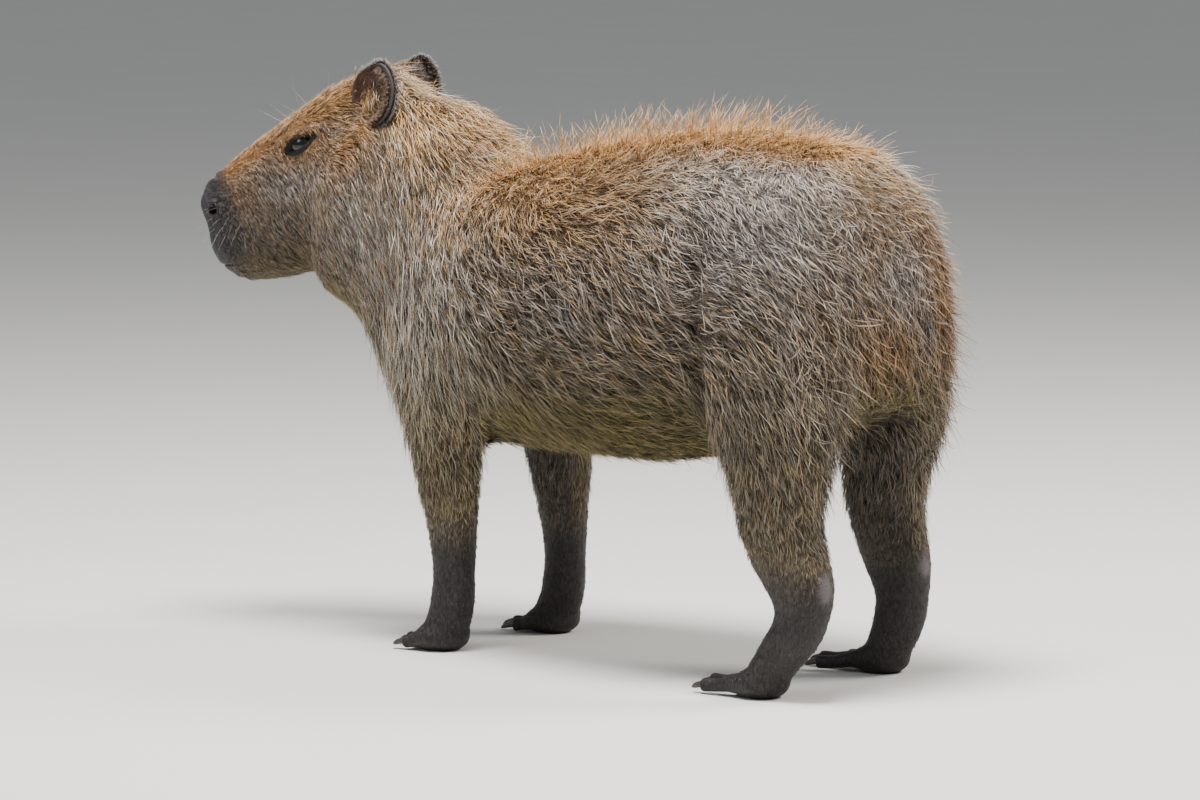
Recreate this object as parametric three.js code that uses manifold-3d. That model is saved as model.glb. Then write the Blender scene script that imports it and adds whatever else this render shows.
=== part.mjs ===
// A capybara standing with its head raised, life size, as a museum would show it.
// Millimetres, +Z up. The head points to -X, the animal's right side is +Y, and the feet stand on Z = 0.
import * as THREE from "three";
import { mergeVertices } from "three/addons/utils/BufferGeometryUtils.js";
import { MeshSurfaceSampler } from "three/addons/math/MeshSurfaceSampler.js";
import Module from "manifold-3d";

const wasm = await Module();
wasm.setup();

// Driving dimensions
const RUMP_HEIGHT = 572; // top of the croup, under the locks of the coat
const BELLY_HEIGHT = 216; // lowest line of the trunk
const TRUNK_HALF_WIDTH = 158;
const HEAD_YAW = 25; // degrees that the head is turned to its left
const HEAD_PITCH = 20; // degrees that the muzzle points down
const HEAD_PLACE = [-368, -80, 493]; // middle of the head, under the eye
const HIP_HALF_SPAN = 108; // between the body's middle and each hind leg
const SHOULDER_HALF_SPAN = 88;
const EYE_RADIUS = 13;
const LID_THICKNESS = 2.6;
const EAR_SIZE = { width: 48, height: 72, depth: 28, wall: 3 };
const LOCK_LENGTH = 125; // the coat's locks on the flank
const LOCK_WIDTH = 66;
const LOCK_RISE = 13; // how far a lock's tip stands off the body
const LOCK_SPACING = 63;
const GAP = 0.3; // between pieces that touch
const SOLE_LEVEL = 0;

const X_AXIS = new THREE.Vector3(1, 0, 0);
const Y_AXIS = new THREE.Vector3(0, 1, 0);
const Z_AXIS = new THREE.Vector3(0, 0, 1);
const LEFT = -1;
const RIGHT = 1;
const REACH = 1600; // longer than the animal, for cutting blocks
const vector = (p) => new THREE.Vector3(...p);
const radians = THREE.MathUtils.degToRad;
const { clamp, lerp, smoothstep } = THREE.MathUtils;

// A seeded random draw, so that the coat is the same each time.
function randomFrom(seed) {
  let state = seed;
  return () => {
    state = (state + 0x6d2b79f5) | 0;
    let mixed = Math.imul(state ^ (state >>> 15), 1 | state);
    mixed = (mixed + Math.imul(mixed ^ (mixed >>> 7), 61 | mixed)) ^ mixed;
    return ((mixed ^ (mixed >>> 14)) >>> 0) / 4294967296;
  };
}

// Solids and geometries

function meshSolid(places, corners) {
  return new wasm.Manifold(new wasm.Mesh({ numProp: 3, vertProperties: places, triVerts: corners }));
}

// A closed geometry as a solid, turned outside out where its faces point inwards.
function solidOf(geometry) {
  const bare = new THREE.BufferGeometry();
  bare.setAttribute("position", geometry.getAttribute("position").clone());
  if (geometry.index) bare.setIndex(geometry.index.clone());
  const merged = mergeVertices(bare, 1e-4);
  const places = new Float32Array(merged.attributes.position.array);
  const corners = new Uint32Array(merged.index.array);
  const made = meshSolid(places, corners);
  if (made.volume() > 0) return made;
  for (let i = 0; i < corners.length; i += 3) corners.subarray(i, i + 3).reverse();
  return meshSolid(places, corners);
}

function geometryOf(solid) {
  const mesh = solid.getMesh();
  const places = new Float32Array(mesh.numVert * 3);
  for (let i = 0; i < mesh.numVert; i++)
    places.set(mesh.vertProperties.subarray(i * mesh.numProp, i * mesh.numProp + 3), i * 3);
  const geometry = new THREE.BufferGeometry();
  geometry.setAttribute("position", new THREE.BufferAttribute(places, 3));
  geometry.setIndex(new THREE.BufferAttribute(new Uint32Array(mesh.triVerts), 1));
  return geometry;
}

const joined = (solids) => wasm.Manifold.union(solids);
const placed = (solid, matrix) => solidOf(geometryOf(solid).applyMatrix4(matrix));

// The largest closed body of a solid, without the scraps that a cut leaves.
function largest(solid) {
  return solid.decompose().reduce((best, piece) => (piece.volume() > best.volume() ? piece : best));
}

function ball(centre, radii, columns = 14, rows = 8) {
  const geometry = new THREE.SphereGeometry(1, columns, rows);
  geometry.scale(...radii).translate(...centre);
  return solidOf(geometry);
}

// A block that fills the side of a plane that the normal points to.
function beyond(point, normal) {
  const geometry = new THREE.BoxGeometry(REACH, REACH, REACH).translate(0, 0, REACH / 2);
  const turn = new THREE.Quaternion().setFromUnitVectors(Z_AXIS, normal.clone().normalize());
  geometry.applyQuaternion(turn).translate(point.x, point.y, point.z);
  return solidOf(geometry);
}

// A closed skin swept through stations, for the small pieces. Each station has a centre, a half-width to the
// side and a half-height. "upright" says which way up is.
function sweep({ stations, sides, steps, upright, tip = 0, grow = 0 }) {
  const centres = new THREE.CatmullRomCurve3(stations.map((s) => vector(s.at)));
  const sizes = new THREE.CatmullRomCurve3(stations.map((s) => new THREE.Vector3(s.side, s.up, 0)));
  const rings = [];
  const addRing = (t, shift, scale) => {
    const along = centres.getTangent(t);
    const across = new THREE.Vector3().crossVectors(upright, along).normalize();
    const upward = new THREE.Vector3().crossVectors(along, across);
    const centre = centres.getPoint(t).addScaledVector(along, shift);
    const size = sizes.getPoint(t).addScalar(grow).multiplyScalar(scale);
    for (let i = 0; i < sides; i++) {
      const angle = (i / sides) * 2 * Math.PI;
      const place = centre.clone().addScaledVector(across, Math.cos(angle) * size.x);
      rings.push(place.addScaledVector(upward, Math.sin(angle) * size.y));
    }
  };
  for (let i = 0; i <= steps; i++) addRing(i / steps, i ? 0 : -grow, 1);
  if (tip) addRing(1, (tip + grow) * 0.66, 0.7);
  const last = steps + (tip ? 1 : 0);
  const start = centres.getPoint(0).addScaledVector(centres.getTangent(0), -grow);
  const end = centres.getPoint(1).addScaledVector(centres.getTangent(1), tip + grow);
  const faces = [];
  const at = (ring, i) => 1 + ring * sides + (i % sides);
  for (let i = 0; i < sides; i++) {
    faces.push(0, at(0, i + 1), at(0, i), 1 + rings.length, at(last, i), at(last, i + 1));
    for (let r = 0; r < last; r++) {
      faces.push(at(r, i), at(r, i + 1), at(r + 1, i));
      faces.push(at(r, i + 1), at(r + 1, i + 1), at(r + 1, i));
    }
  }
  const geometry = new THREE.BufferGeometry().setFromPoints([start, ...rings, end]);
  geometry.setIndex(faces);
  return solidOf(geometry);
}

// Fields: the flesh is one smooth form, told by how far a point lies outside it, negative inside

const JOINT_CAP = 0.35; // share of its radius that a length reaches past its end, to fill a bend

// A form along a row of stations, as a field. Each station has a centre, a half-width to the side, and
// half-heights up and down. Sections are superellipses, and each end closes in a dome.
function rod({ stations, steps, upright, square = 2, startDome, endDome }) {
  const centres = new THREE.CatmullRomCurve3(stations.map((s) => vector(s.at)));
  const sizeOf = (s) => new THREE.Vector3(s.side, s.up, s.down ?? s.up);
  const sizes = new THREE.CatmullRomCurve3(stations.map(sizeOf));
  const spans = [];
  for (let i = 0; i < steps; i++) {
    const start = centres.getPoint(i / steps);
    const along = centres.getPoint((i + 1) / steps).sub(start);
    const length = along.length();
    along.normalize();
    const across = new THREE.Vector3().crossVectors(upright, along).normalize();
    const upward = new THREE.Vector3().crossVectors(along, across);
    const from = sizes.getPoint(i / steps);
    const to = sizes.getPoint((i + 1) / steps);
    const capStart = i === 0 ? startDome : JOINT_CAP * Math.min(from.x, from.y);
    const capEnd = i === steps - 1 ? endDome : JOINT_CAP * Math.min(to.x, to.y);
    spans.push({ start, along, length, across, upward, from, to, capStart, capEnd });
  }
  const offset = new THREE.Vector3();
  const size = new THREE.Vector3();
  return (p) => {
    let nearest = Infinity;
    for (const span of spans) {
      offset.subVectors(p, span.start);
      const reach = clamp(offset.dot(span.along), 0, span.length);
      offset.addScaledVector(span.along, -reach);
      size.lerpVectors(span.from, span.to, reach / span.length);
      const wide = Math.abs(offset.dot(span.across)) / size.x;
      const rise = offset.dot(span.upward);
      const high = rise > 0 ? rise / size.y : -rise / size.z;
      const past = Math.abs(offset.dot(span.along)) / (reach > 0 ? span.capEnd : span.capStart);
      const share = (wide ** square + high ** square + past ** square) ** (1 / square);
      const depth = share > 1e-4 ? offset.length() * (1 - 1 / share) : -Math.min(size.x, size.y, size.z);
      nearest = Math.min(nearest, depth);
    }
    return nearest;
  };
}

// An egg-shaped swelling, as a field.
function swelling(centre, radii) {
  const middle = vector(centre);
  const size = vector(radii);
  const offset = new THREE.Vector3();
  return (p) => {
    offset.subVectors(p, middle);
    const length = offset.length();
    const share = offset.divide(size).length();
    return share > 1e-4 ? length * (1 - 1 / share) : -Math.min(...radii);
  };
}

// Two fields joined, with the crease between them filled over a given width.
function blend(a, b, width) {
  const near = Math.max(width - Math.abs(a - b), 0) / width;
  return Math.min(a, b) - (near * near * width) / 4;
}

// The closed skin of a field inside a box, with one point in each cell that the surface crosses.
function skinOf(field, low, high, cell) {
  const [nx, ny, nz] = [0, 1, 2].map((k) => Math.ceil((high[k] - low[k]) / cell) + 1);
  const index = (i, j, k) => (k * ny + j) * nx + i;
  const depths = new Float32Array(nx * ny * nz);
  const place = new THREE.Vector3();
  for (let k = 0; k < nz; k++)
    for (let j = 0; j < ny; j++)
      for (let i = 0; i < nx; i++) {
        place.set(low[0] + i * cell, low[1] + j * cell, low[2] + k * cell);
        const rim = i === 0 || j === 0 || k === 0 || i === nx - 1 || j === ny - 1 || k === nz - 1;
        depths[index(i, j, k)] = rim ? Math.max(field(place), cell / 2) : field(place);
      }
  const corners = [0, 1, 2, 3, 4, 5, 6, 7].map((c) => [c & 1, (c >> 1) & 1, (c >> 2) & 1]);
  const edges = [];
  for (let a = 0; a < 8; a++) for (const bit of [1, 2, 4]) if (!(a & bit)) edges.push([a, a | bit]);
  const points = [];
  const pointOf = new Map();
  for (let k = 0; k < nz - 1; k++)
    for (let j = 0; j < ny - 1; j++)
      for (let i = 0; i < nx - 1; i++) {
        const values = corners.map(([a, b, c]) => depths[index(i + a, j + b, k + c)]);
        const crossed = edges.filter(([a, b]) => values[a] < 0 !== values[b] < 0);
        if (!crossed.length) continue;
        const mean = new THREE.Vector3();
        for (const [a, b] of crossed) {
          const share = values[a] / (values[a] - values[b]);
          mean.add(new THREE.Vector3(...corners[a]).lerp(new THREE.Vector3(...corners[b]), share));
        }
        mean.divideScalar(crossed.length);
        pointOf.set(index(i, j, k), points.length);
        mean.add(new THREE.Vector3(i, j, k)).multiplyScalar(cell);
        points.push(mean.add(vector(low)));
      }
  const faces = [];
  const addFace = (cells, turned) => {
    const [a, b, c, d] = cells.map((place) => pointOf.get(place));
    const shorter = points[a].distanceTo(points[c]) < points[b].distanceTo(points[d]);
    const triangles = shorter ? [a, b, c, a, c, d] : [b, c, d, b, d, a];
    if (turned) triangles.reverse();
    faces.push(...triangles);
  };
  for (let k = 0; k < nz - 1; k++)
    for (let j = 0; j < ny - 1; j++)
      for (let i = 0; i < nx - 1; i++) {
        const inside = depths[index(i, j, k)] < 0;
        const around = [
          [index(i + 1, j, k), [[0, -1, -1], [0, 0, -1], [0, 0, 0], [0, -1, 0]]],
          [index(i, j + 1, k), [[-1, 0, -1], [-1, 0, 0], [0, 0, 0], [0, 0, -1]]],
          [index(i, j, k + 1), [[-1, -1, 0], [0, -1, 0], [0, 0, 0], [-1, 0, 0]]],
        ];
        for (const [next, cells] of around)
          if (inside !== depths[next] < 0)
            addFace(cells.map(([a, b, c]) => index(i + a, j + b, k + c)), !inside);
      }
  const geometry = new THREE.BufferGeometry().setFromPoints(points);
  geometry.setIndex(faces);
  return solidOf(geometry);
}

// Trunk and neck

const trunk = rod({
  stations: [
    { at: [-222, 0, 350], side: 92, up: 112, down: 126 },
    { at: [-130, 0, 366], side: 126, up: 148, down: 150 },
    { at: [-20, 0, 378], side: 149, up: 160, down: 378 - BELLY_HEIGHT },
    { at: [100, 0, 388], side: TRUNK_HALF_WIDTH, up: 172, down: 388 - BELLY_HEIGHT },
    { at: [210, 0, 402], side: 155, up: RUMP_HEIGHT - 402, down: 166 },
    { at: [318, 0, 414], side: 134, up: 150, down: 140 },
  ],
  steps: 12,
  upright: Z_AXIS,
  square: 2.2,
  startDome: 62,
  endDome: 94,
});

const neck = rod({
  stations: [
    { at: [-50, 0, 384], side: 116, up: 122, down: 128 },
    { at: [-140, -8, 420], side: 104, up: 120, down: 134 },
    { at: [-215, -30, 460], side: 92, up: 127, down: 137 },
    { at: [-280, -50, 486], side: 79, up: 111, down: 123 },
  ],
  steps: 6,
  upright: Z_AXIS,
  square: 2.2,
  startDome: 20,
  endDome: 44,
});

// Head, in a frame of its own: the nose points to -X and the crown to +Z. It is turned and placed whole.

const headPlace = new THREE.Matrix4()
  .makeTranslation(...HEAD_PLACE)
  .multiply(new THREE.Matrix4().makeRotationZ(radians(HEAD_YAW)))
  .multiply(new THREE.Matrix4().makeRotationY(radians(-HEAD_PITCH)));
const headUnplace = headPlace.clone().invert();

// Each row: place along the head, crown line, jaw line and half-width.
const headProfile = [
  [-102, 20, -69, 33],
  [-92, 34, -83, 43],
  [-66, 47, -92, 48],
  [-32, 60, -96, 52],
  [7, 71, -98, 57],
  [47, 80, -99, 62],
  [87, 86, -99, 66],
  [122, 84, -96, 66],
];
const headBox = rod({
  stations: headProfile.map(([x, crown, jaw, half]) => ({
    at: [x, 0, (crown + jaw) / 2],
    side: half,
    up: (crown - jaw) / 2,
  })),
  steps: 12,
  upright: Z_AXIS,
  square: 2.6,
  startDome: 9,
  endDome: 40,
});
const headSwellings = [LEFT, RIGHT].flatMap((side) => [
  { field: swelling([90, side * 48, -30], [54, 27, 50]), width: 26 }, // chewing muscle of the cheek
  { field: swelling([37, side * 41, 48], [30, 17, 13]), width: 14 }, // brow over the eye
  { field: swelling([-86, side * 25, 7], [20, 16, 17]), width: 12 }, // round of the nostril
  { field: swelling([-82, side * 22, -40], [28, 26, 24]), width: 16 }, // upper lip
]);

function headField(p) {
  return headSwellings.reduce((depth, { field, width }) => blend(depth, field(p), width), headBox(p));
}

// Legs

// From the hip to the ball of the foot. "side" is the half-width across the body, "up" the half-depth from
// front to back. The left hind leg is set back with its hock bent, and the right one stands upright.
const hindLegStations = {
  [LEFT]: [
    { at: [300, -74, 410], side: 62, up: 94 },
    { at: [322, -94, 330], side: 58, up: 92 },
    { at: [338, -HIP_HALF_SPAN, 263], side: 48, up: 74 },
    { at: [340, -HIP_HALF_SPAN, 215], side: 39, up: 60 },
    { at: [345, -HIP_HALF_SPAN, 165], side: 33, up: 49 },
    { at: [371, -HIP_HALF_SPAN, 118], side: 29, up: 41 },
    { at: [373, -HIP_HALF_SPAN, 88], side: 28, up: 31 },
    { at: [347, -HIP_HALF_SPAN, 50], side: 28, up: 25 },
    { at: [322, -HIP_HALF_SPAN, 20], side: 30, up: 19 },
  ],
  [RIGHT]: [
    { at: [288, 74, 410], side: 62, up: 94 },
    { at: [300, 92, 330], side: 56, up: 90 },
    { at: [306, 104, 263], side: 47, up: 71 },
    { at: [304, 105, 210], side: 39, up: 54 },
    { at: [308, 105, 160], side: 33, up: 45 },
    { at: [323, 105, 117], side: 29, up: 42 },
    { at: [329, 105, 86], side: 27, up: 33 },
    { at: [321, 105, 48], side: 28, up: 27 },
    { at: [306, 105, 20], side: 30, up: 21 },
  ],
};
const foreLegStations = (side) => {
  const y = side * SHOULDER_HALF_SPAN;
  return [
    { at: [-158, y * 0.8, 350], side: 40, up: 72 },
    { at: [-152, y * 0.94, 285], side: 42, up: 60 },
    { at: [-142, y, 220], side: 36, up: 45 },
    { at: [-134, y, 150], side: 29, up: 33 },
    { at: [-130, y, 90], side: 25, up: 26 },
    { at: [-134, y, 45], side: 26, up: 24 },
    { at: [-144, y, 20], side: 29, up: 23 },
  ];
};
const legRod = (stations, steps) =>
  rod({ stations, steps, upright: X_AXIS, startDome: 30, endDome: 14 });
const legs = [
  legRod(hindLegStations[LEFT], 16),
  legRod(hindLegStations[RIGHT], 16),
  legRod(foreLegStations(LEFT), 12),
  legRod(foreLegStations(RIGHT), 12),
];

// All the flesh as one field.
const NECK_BLEND = 40;
const HEAD_BLEND = 30;
const LEG_BLEND = 36;
function fleshField(p) {
  let depth = blend(trunk(p), neck(p), NECK_BLEND);
  depth = blend(depth, headField(p.clone().applyMatrix4(headUnplace)), HEAD_BLEND);
  for (const leg of legs) depth = blend(depth, leg(p), LEG_BLEND);
  return depth;
}

// Which way the skin faces at a point.
const SLOPE_STEP = 3;
function facing(p) {
  const slope = [X_AXIS, Y_AXIS, Z_AXIS].map((axis) => {
    const ahead = fleshField(p.clone().addScaledVector(axis, SLOPE_STEP));
    return ahead - fleshField(p.clone().addScaledVector(axis, -SLOPE_STEP));
  });
  return vector(slope).normalize();
}

// Seams between the pieces: a plane behind the head, one before the withers, an arch round each leg's top

const seamAt = (point, normal) =>
  new THREE.Plane().setFromNormalAndCoplanarPoint(vector(normal).normalize(), vector(point));
const headSeam = seamAt([122, 0, -10], [0.82, 0, -0.57]); // in the head's own frame
const napeSeam = headSeam.clone().applyMatrix4(headPlace);
const withersSeam = seamAt([-202, 0, 420], [0.81, 0, -0.59]);
const STIFLE_SEAM = 215; // heights where the leg is divided
const HOCK_SEAM = 132;
const WRIST_SEAM = 64;
const THIGH_ARCH = { middle: 325, half: 112, spring: 330, crown: 175, inner: 38 };
const FORELEG_ARCH = { middle: -148, half: 84, spring: 250, crown: 62, inner: 28 };

// What lies on the side of a plane that its normal points to, and what lies on the other side.
function ahead(solid, plane) {
  const point = plane.coplanarPoint(new THREE.Vector3()).addScaledVector(plane.normal, GAP / 2);
  return solid.subtract(beyond(point, plane.normal.clone().negate()));
}
function behind(solid, plane) {
  const point = plane.coplanarPoint(new THREE.Vector3()).addScaledVector(plane.normal, -GAP / 2);
  return solid.subtract(beyond(point, plane.normal));
}
const above = (solid, height) => ahead(solid, seamAt([0, 0, height], [0, 0, 1]));
const below = (solid, height) => behind(solid, seamAt([0, 0, height], [0, 0, 1]));

// The outline that a leg takes from the trunk, from its inner face outwards.
function archOf({ middle, half, spring, crown, inner }, side, grow = 0) {
  const shape = new THREE.Shape();
  shape.moveTo(middle + half + grow, -REACH / 2);
  shape.lineTo(middle + half + grow, spring);
  shape.absellipse(middle, spring, half + grow, crown + grow, 0, Math.PI, false);
  shape.lineTo(middle - half - grow, -REACH / 2);
  const options = { depth: REACH / 2, bevelEnabled: false, curveSegments: 12 };
  const geometry = new THREE.ExtrudeGeometry(shape, options);
  geometry.rotateX(Math.PI / 2);
  geometry.translate(0, side === LEFT ? grow - inner : REACH / 2 + inner - grow, 0);
  return solidOf(geometry);
}

function inArch({ middle, half, spring, crown, inner }, side, p) {
  const wide = (p.x - middle) / half;
  const high = Math.max(p.z - spring, 0) / crown;
  return side * p.y > inner && wide * wide + high * high < 1;
}

// Coat

const LOCK_BEND = 0.26; // radians that a lock may stray from the lie of the coat
const LOCK_THICK = 5;
const LOCK_ROOT = 10; // how deep its root is sunk
const LOCK_TRIES = 2600; // places drawn on each piece, of which those too close to a lock are left out
const SKIN_REACH = 6; // a place further than this from the skin lies on a cut
const LEAST_SHARE = 0.3; // below this share of the flank's length the coat is too short for locks
const LOCK_CUTS = [1, 0.8, 0.6, 0.42]; // shares of its length tried, until a lock ends before the next piece

// Which way the hair lies at a point: back along the sides, down over the chest and thighs.
function hairWay(p, normal) {
  const chest = 1 - smoothstep(p.x, -290, -110);
  const rear = smoothstep(p.x, 110, 320);
  const fall = Math.max(0.34, 0.62 * chest, 0.88 * rear);
  return new THREE.Vector3(1 - fall, 0, -fall).projectOnPlane(normal).normalize();
}

// The length of the coat there, as a share of its length on the flank.
function hairLength(p) {
  const leg = smoothstep(p.z, 205, 300);
  const belly = lerp(0.72, 1, smoothstep(p.z, 225, 330));
  const throat = lerp(0.78, 1, smoothstep(p.x, -330, -190));
  return leg * belly * throat;
}

// Along the ridge of the back, over the croup and on the nape the hair stands up more.
function hairRise(p, normal) {
  const croup = smoothstep(p.x, 150, 290);
  const ridge = smoothstep(normal.z, 0.55, 0.95) * smoothstep(p.x, -150, -20) * (1 - croup);
  const nape = smoothstep(normal.z, 0.3, 0.8) * (1 - smoothstep(p.x, -150, -80));
  return LOCK_RISE * (1 + 1.1 * ridge + 0.4 * croup + 0.3 * nape);
}

// Follows the lie of the coat over the skin from a root, and gives each marked place with its frame.
function trace(root, length, stray, marks) {
  const place = root.clone();
  const found = [];
  let gone = 0;
  for (const mark of marks) {
    const normal = facing(place);
    const way = hairWay(place, normal).applyAxisAngle(normal, stray);
    place.addScaledVector(way, mark * length - gone);
    place.addScaledVector(facing(place), -fleshField(place));
    gone = mark * length;
    const up = facing(place);
    const ahead = hairWay(place, up).applyAxisAngle(up, stray);
    found.push({ place: place.clone(), up, side: new THREE.Vector3().crossVectors(up, ahead) });
  }
  return found;
}

// Where a lock's sections lie along it, its tip last, and their widths and heights over the skin, as shares
const LOCK_MARKS = [-0.1, 0.26, 0.64, 1];
const LOCK_WIDTHS = [0.66, 1, 0.74];
const LOCK_LIFTS = [0, 0.14, 0.5];

// A flat, tapered lock: three corners a section, a low ridge along it, its root sunk, its tip standing off.
function lockSolid(line, width, rise) {
  const corners = [];
  for (let i = 0; i < 3; i++) {
    const { place, up, side } = line[i];
    const low = i === 0 ? -LOCK_ROOT : LOCK_LIFTS[i] * rise;
    const half = (LOCK_WIDTHS[i] * width) / 2;
    corners.push(place.clone().addScaledVector(up, low).addScaledVector(side, half));
    corners.push(place.clone().addScaledVector(up, low + LOCK_THICK));
    corners.push(place.clone().addScaledVector(up, low).addScaledVector(side, -half));
  }
  corners.push(line[3].place.clone().addScaledVector(line[3].up, rise));
  const faces = [0, 2, 1];
  for (let ring = 0; ring < 2; ring++)
    for (let i = 0; i < 3; i++) {
      const [a, b] = [ring * 3 + i, ring * 3 + ((i + 1) % 3)];
      faces.push(a, b, a + 3, b, b + 3, a + 3);
    }
  for (let i = 0; i < 3; i++) faces.push(6 + i, 6 + ((i + 1) % 3), 9);
  const geometry = new THREE.BufferGeometry().setFromPoints(corners);
  geometry.setIndex(faces);
  return solidOf(geometry);
}

// The locks of one piece, rooted all over its skin. Each is as long as its own side of the seams allows.
function locksOn(solid, holds, seed) {
  const random = randomFrom(seed);
  const surface = new THREE.Mesh(geometryOf(solid));
  const sampler = new MeshSurfaceSampler(surface).setRandomGenerator(random).build();
  const roots = [];
  const locks = [];
  for (let i = 0; i < LOCK_TRIES; i++) {
    const root = new THREE.Vector3();
    sampler.sample(root);
    const share = hairLength(root);
    const spacing = LOCK_SPACING * lerp(0.75, 1, share);
    if (Math.abs(fleshField(root)) > SKIN_REACH || share < LEAST_SHARE || !holds(root)) continue;
    if (roots.some((other) => other.distanceTo(root) < spacing)) continue;
    roots.push(root);
    const stray = (random() * 2 - 1) * LOCK_BEND;
    const size = lerp(0.86, 1.14, random()) * share;
    const width = LOCK_WIDTH * lerp(0.85, 1.1, random()) * lerp(0.7, 1, share);
    const rise = hairRise(root, facing(root)) * lerp(0.8, 1.2, random());
    for (const part of LOCK_CUTS) {
      const line = trace(root, LOCK_LENGTH * size * part, stray, LOCK_MARKS);
      if (!line.slice(1).every(({ place }) => holds(place))) continue;
      locks.push(lockSolid(line, width, rise * part));
      break;
    }
  }
  return locks;
}

// Torso, neck and legs

const nameOf = (side) => (side === LEFT ? "left" : "right");
const SIDES = [LEFT, RIGHT];

// A coated piece: its core, cut from the flesh, joined with its locks, and cut at its seams.
function coatedPiece(core, cut, holds, seed) {
  const bare = largest(cut(core));
  return largest(cut(joined([core, ...locksOn(bare, holds, seed)])));
}

function torso() {
  const cut = (solid) => {
    const arches = SIDES.flatMap((side) => [THIGH_ARCH, FORELEG_ARCH].map((arch) => archOf(arch, side, GAP)));
    return ahead(solid, withersSeam).subtract(joined(arches));
  };
  const holds = (p) => {
    const leg = SIDES.some((side) => inArch(THIGH_ARCH, side, p) || inArch(FORELEG_ARCH, side, p));
    return withersSeam.distanceToPoint(p) > GAP && !leg;
  };
  return coatedPiece(skinOf(fleshField, [-346, -205, 172], [460, 215, 640], 41), cut, holds, 11);
}

function neckPiece() {
  const cut = (solid) => ahead(behind(solid, withersSeam), napeSeam);
  const holds = (p) => withersSeam.distanceToPoint(p) < -GAP && napeSeam.distanceToPoint(p) > GAP;
  return coatedPiece(skinOf(fleshField, [-490, -220, 220], [-70, 160, 650], 34), cut, holds, 12);
}

function thigh(side) {
  const cut = (solid) => above(solid.intersect(archOf(THIGH_ARCH, side)), STIFLE_SEAM);
  const holds = (p) => inArch(THIGH_ARCH, side, p) && p.z > STIFLE_SEAM + GAP;
  const low = [186, side === LEFT ? -212 : 6, 166];
  const core = skinOf(fleshField, low, [low[0] + 290, low[1] + 210, 545], 31);
  return coatedPiece(core, cut, holds, 13 + side);
}

function shank(side) {
  const low = [230, side === LEFT ? -190 : 40, 100];
  const solid = skinOf(fleshField, low, [low[0] + 220, low[1] + 150, 250], 20);
  return largest(above(below(solid, STIFLE_SEAM), HOCK_SEAM));
}

function foreleg(side) {
  const low = [-252, side === LEFT ? -180 : 10, 30];
  const cut = (solid) => above(solid.intersect(archOf(FORELEG_ARCH, side)), WRIST_SEAM);
  const holds = (p) => inArch(FORELEG_ARCH, side, p);
  const core = skinOf(fleshField, low, [low[0] + 210, low[1] + 175, 345], 28);
  return coatedPiece(core, cut, holds, 21 + side);
}

// Feet: a pad under the end of the leg, toes in front of it, and a blunt claw at the end of each toe

const HIND_TOES = [
  { offset: -17, spread: -12, length: 58 },
  { offset: 0, spread: 0, length: 72 },
  { offset: 17, spread: 12, length: 58 },
];
const FORE_TOES = [
  { offset: -20, spread: -22, length: 28 },
  { offset: -7, spread: -7, length: 40 },
  { offset: 7, spread: 7, length: 40 },
  { offset: 20, spread: 22, length: 28 },
];
const TOE_IN = 8; // degrees that each foot points towards the middle
const CLAW_LENGTH = 17;
const footPlans = SIDES.flatMap((side) => [
  { name: "hindfoot", side, leg: hindLegStations[side], toes: HIND_TOES, seam: HOCK_SEAM, cell: 20 },
  { name: "forefoot", side, leg: foreLegStations(side), toes: FORE_TOES, seam: WRIST_SEAM, cell: 18 },
]);

// Where a toe starts, which way it points and where it ends.
function toeLine({ side, leg }, { offset, spread, length }) {
  const ankle = leg[leg.length - 1].at;
  const heading = radians(spread + side * TOE_IN);
  const way = new THREE.Vector3(-Math.cos(heading), -Math.sin(heading), 0);
  const start = new THREE.Vector3(ankle[0] - 4, ankle[1] - offset, 0);
  return { start, way, end: start.clone().addScaledVector(way, length) };
}

const stationAt = (place, height, side, up) => ({ at: [place.x, place.y, height], side, up });

function toeSolid(plan, toe) {
  const { start, end } = toeLine(plan, toe);
  const knuckle = start.clone().lerp(end, 0.45);
  const stations = [
    stationAt(start, 17, 10, 11),
    stationAt(knuckle, 12, 10, 10),
    stationAt(end, 8.4, 8.6, 8.8),
  ];
  return sweep({ stations, sides: 6, steps: 2, upright: Z_AXIS, tip: 4 });
}

function clawSolid(plan, toe, grow = 0) {
  const { end, way } = toeLine(plan, toe);
  const on = (along) => end.clone().addScaledVector(way, along);
  const stations = [
    stationAt(on(-6), 10, 6, 5),
    stationAt(on(6), 8.6, 5.4, 4.8),
    stationAt(on(CLAW_LENGTH), 5, 3.4, 2.8),
  ];
  return sweep({ stations, sides: 6, steps: 1, upright: Z_AXIS, tip: 2, grow });
}

const floor = beyond(new THREE.Vector3(0, 0, SOLE_LEVEL), new THREE.Vector3(0, 0, -1));

function foot(plan) {
  const ankle = vector(plan.leg[plan.leg.length - 1].at);
  const low = [ankle.x - 60, ankle.y - 60, -30];
  const high = [ankle.x + 130, ankle.y + 60, plan.seam + 30];
  const leg = below(skinOf(fleshField, low, high, plan.cell), plan.seam);
  const pad = ball([ankle.x - 4, ankle.y, 13], [29, 30, 17], 10, 6);
  let solid = joined([leg, pad, ...plan.toes.map((toe) => toeSolid(plan, toe))]).subtract(floor);
  for (const toe of plan.toes) solid = solid.subtract(clawSolid(plan, toe, GAP));
  return largest(solid);
}

// Head, in its own frame: sockets, lids, nostrils, mouth and a pocket for the root of each ear

const eyeCentre = (side) => [31, side * 47, 35];
const EYE_SLIT = { length: 34, top: 12, bottom: 12 };

function eyeBall(side, grow = 0) {
  const radius = EYE_RADIUS + grow;
  return ball(eyeCentre(side), [radius, radius, radius], 14, 8);
}

const muzzleDepth = (depth) => skinOf((p) => headField(p) + depth, [-134, -90, -126], [16, 90, 90], 15);

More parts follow.
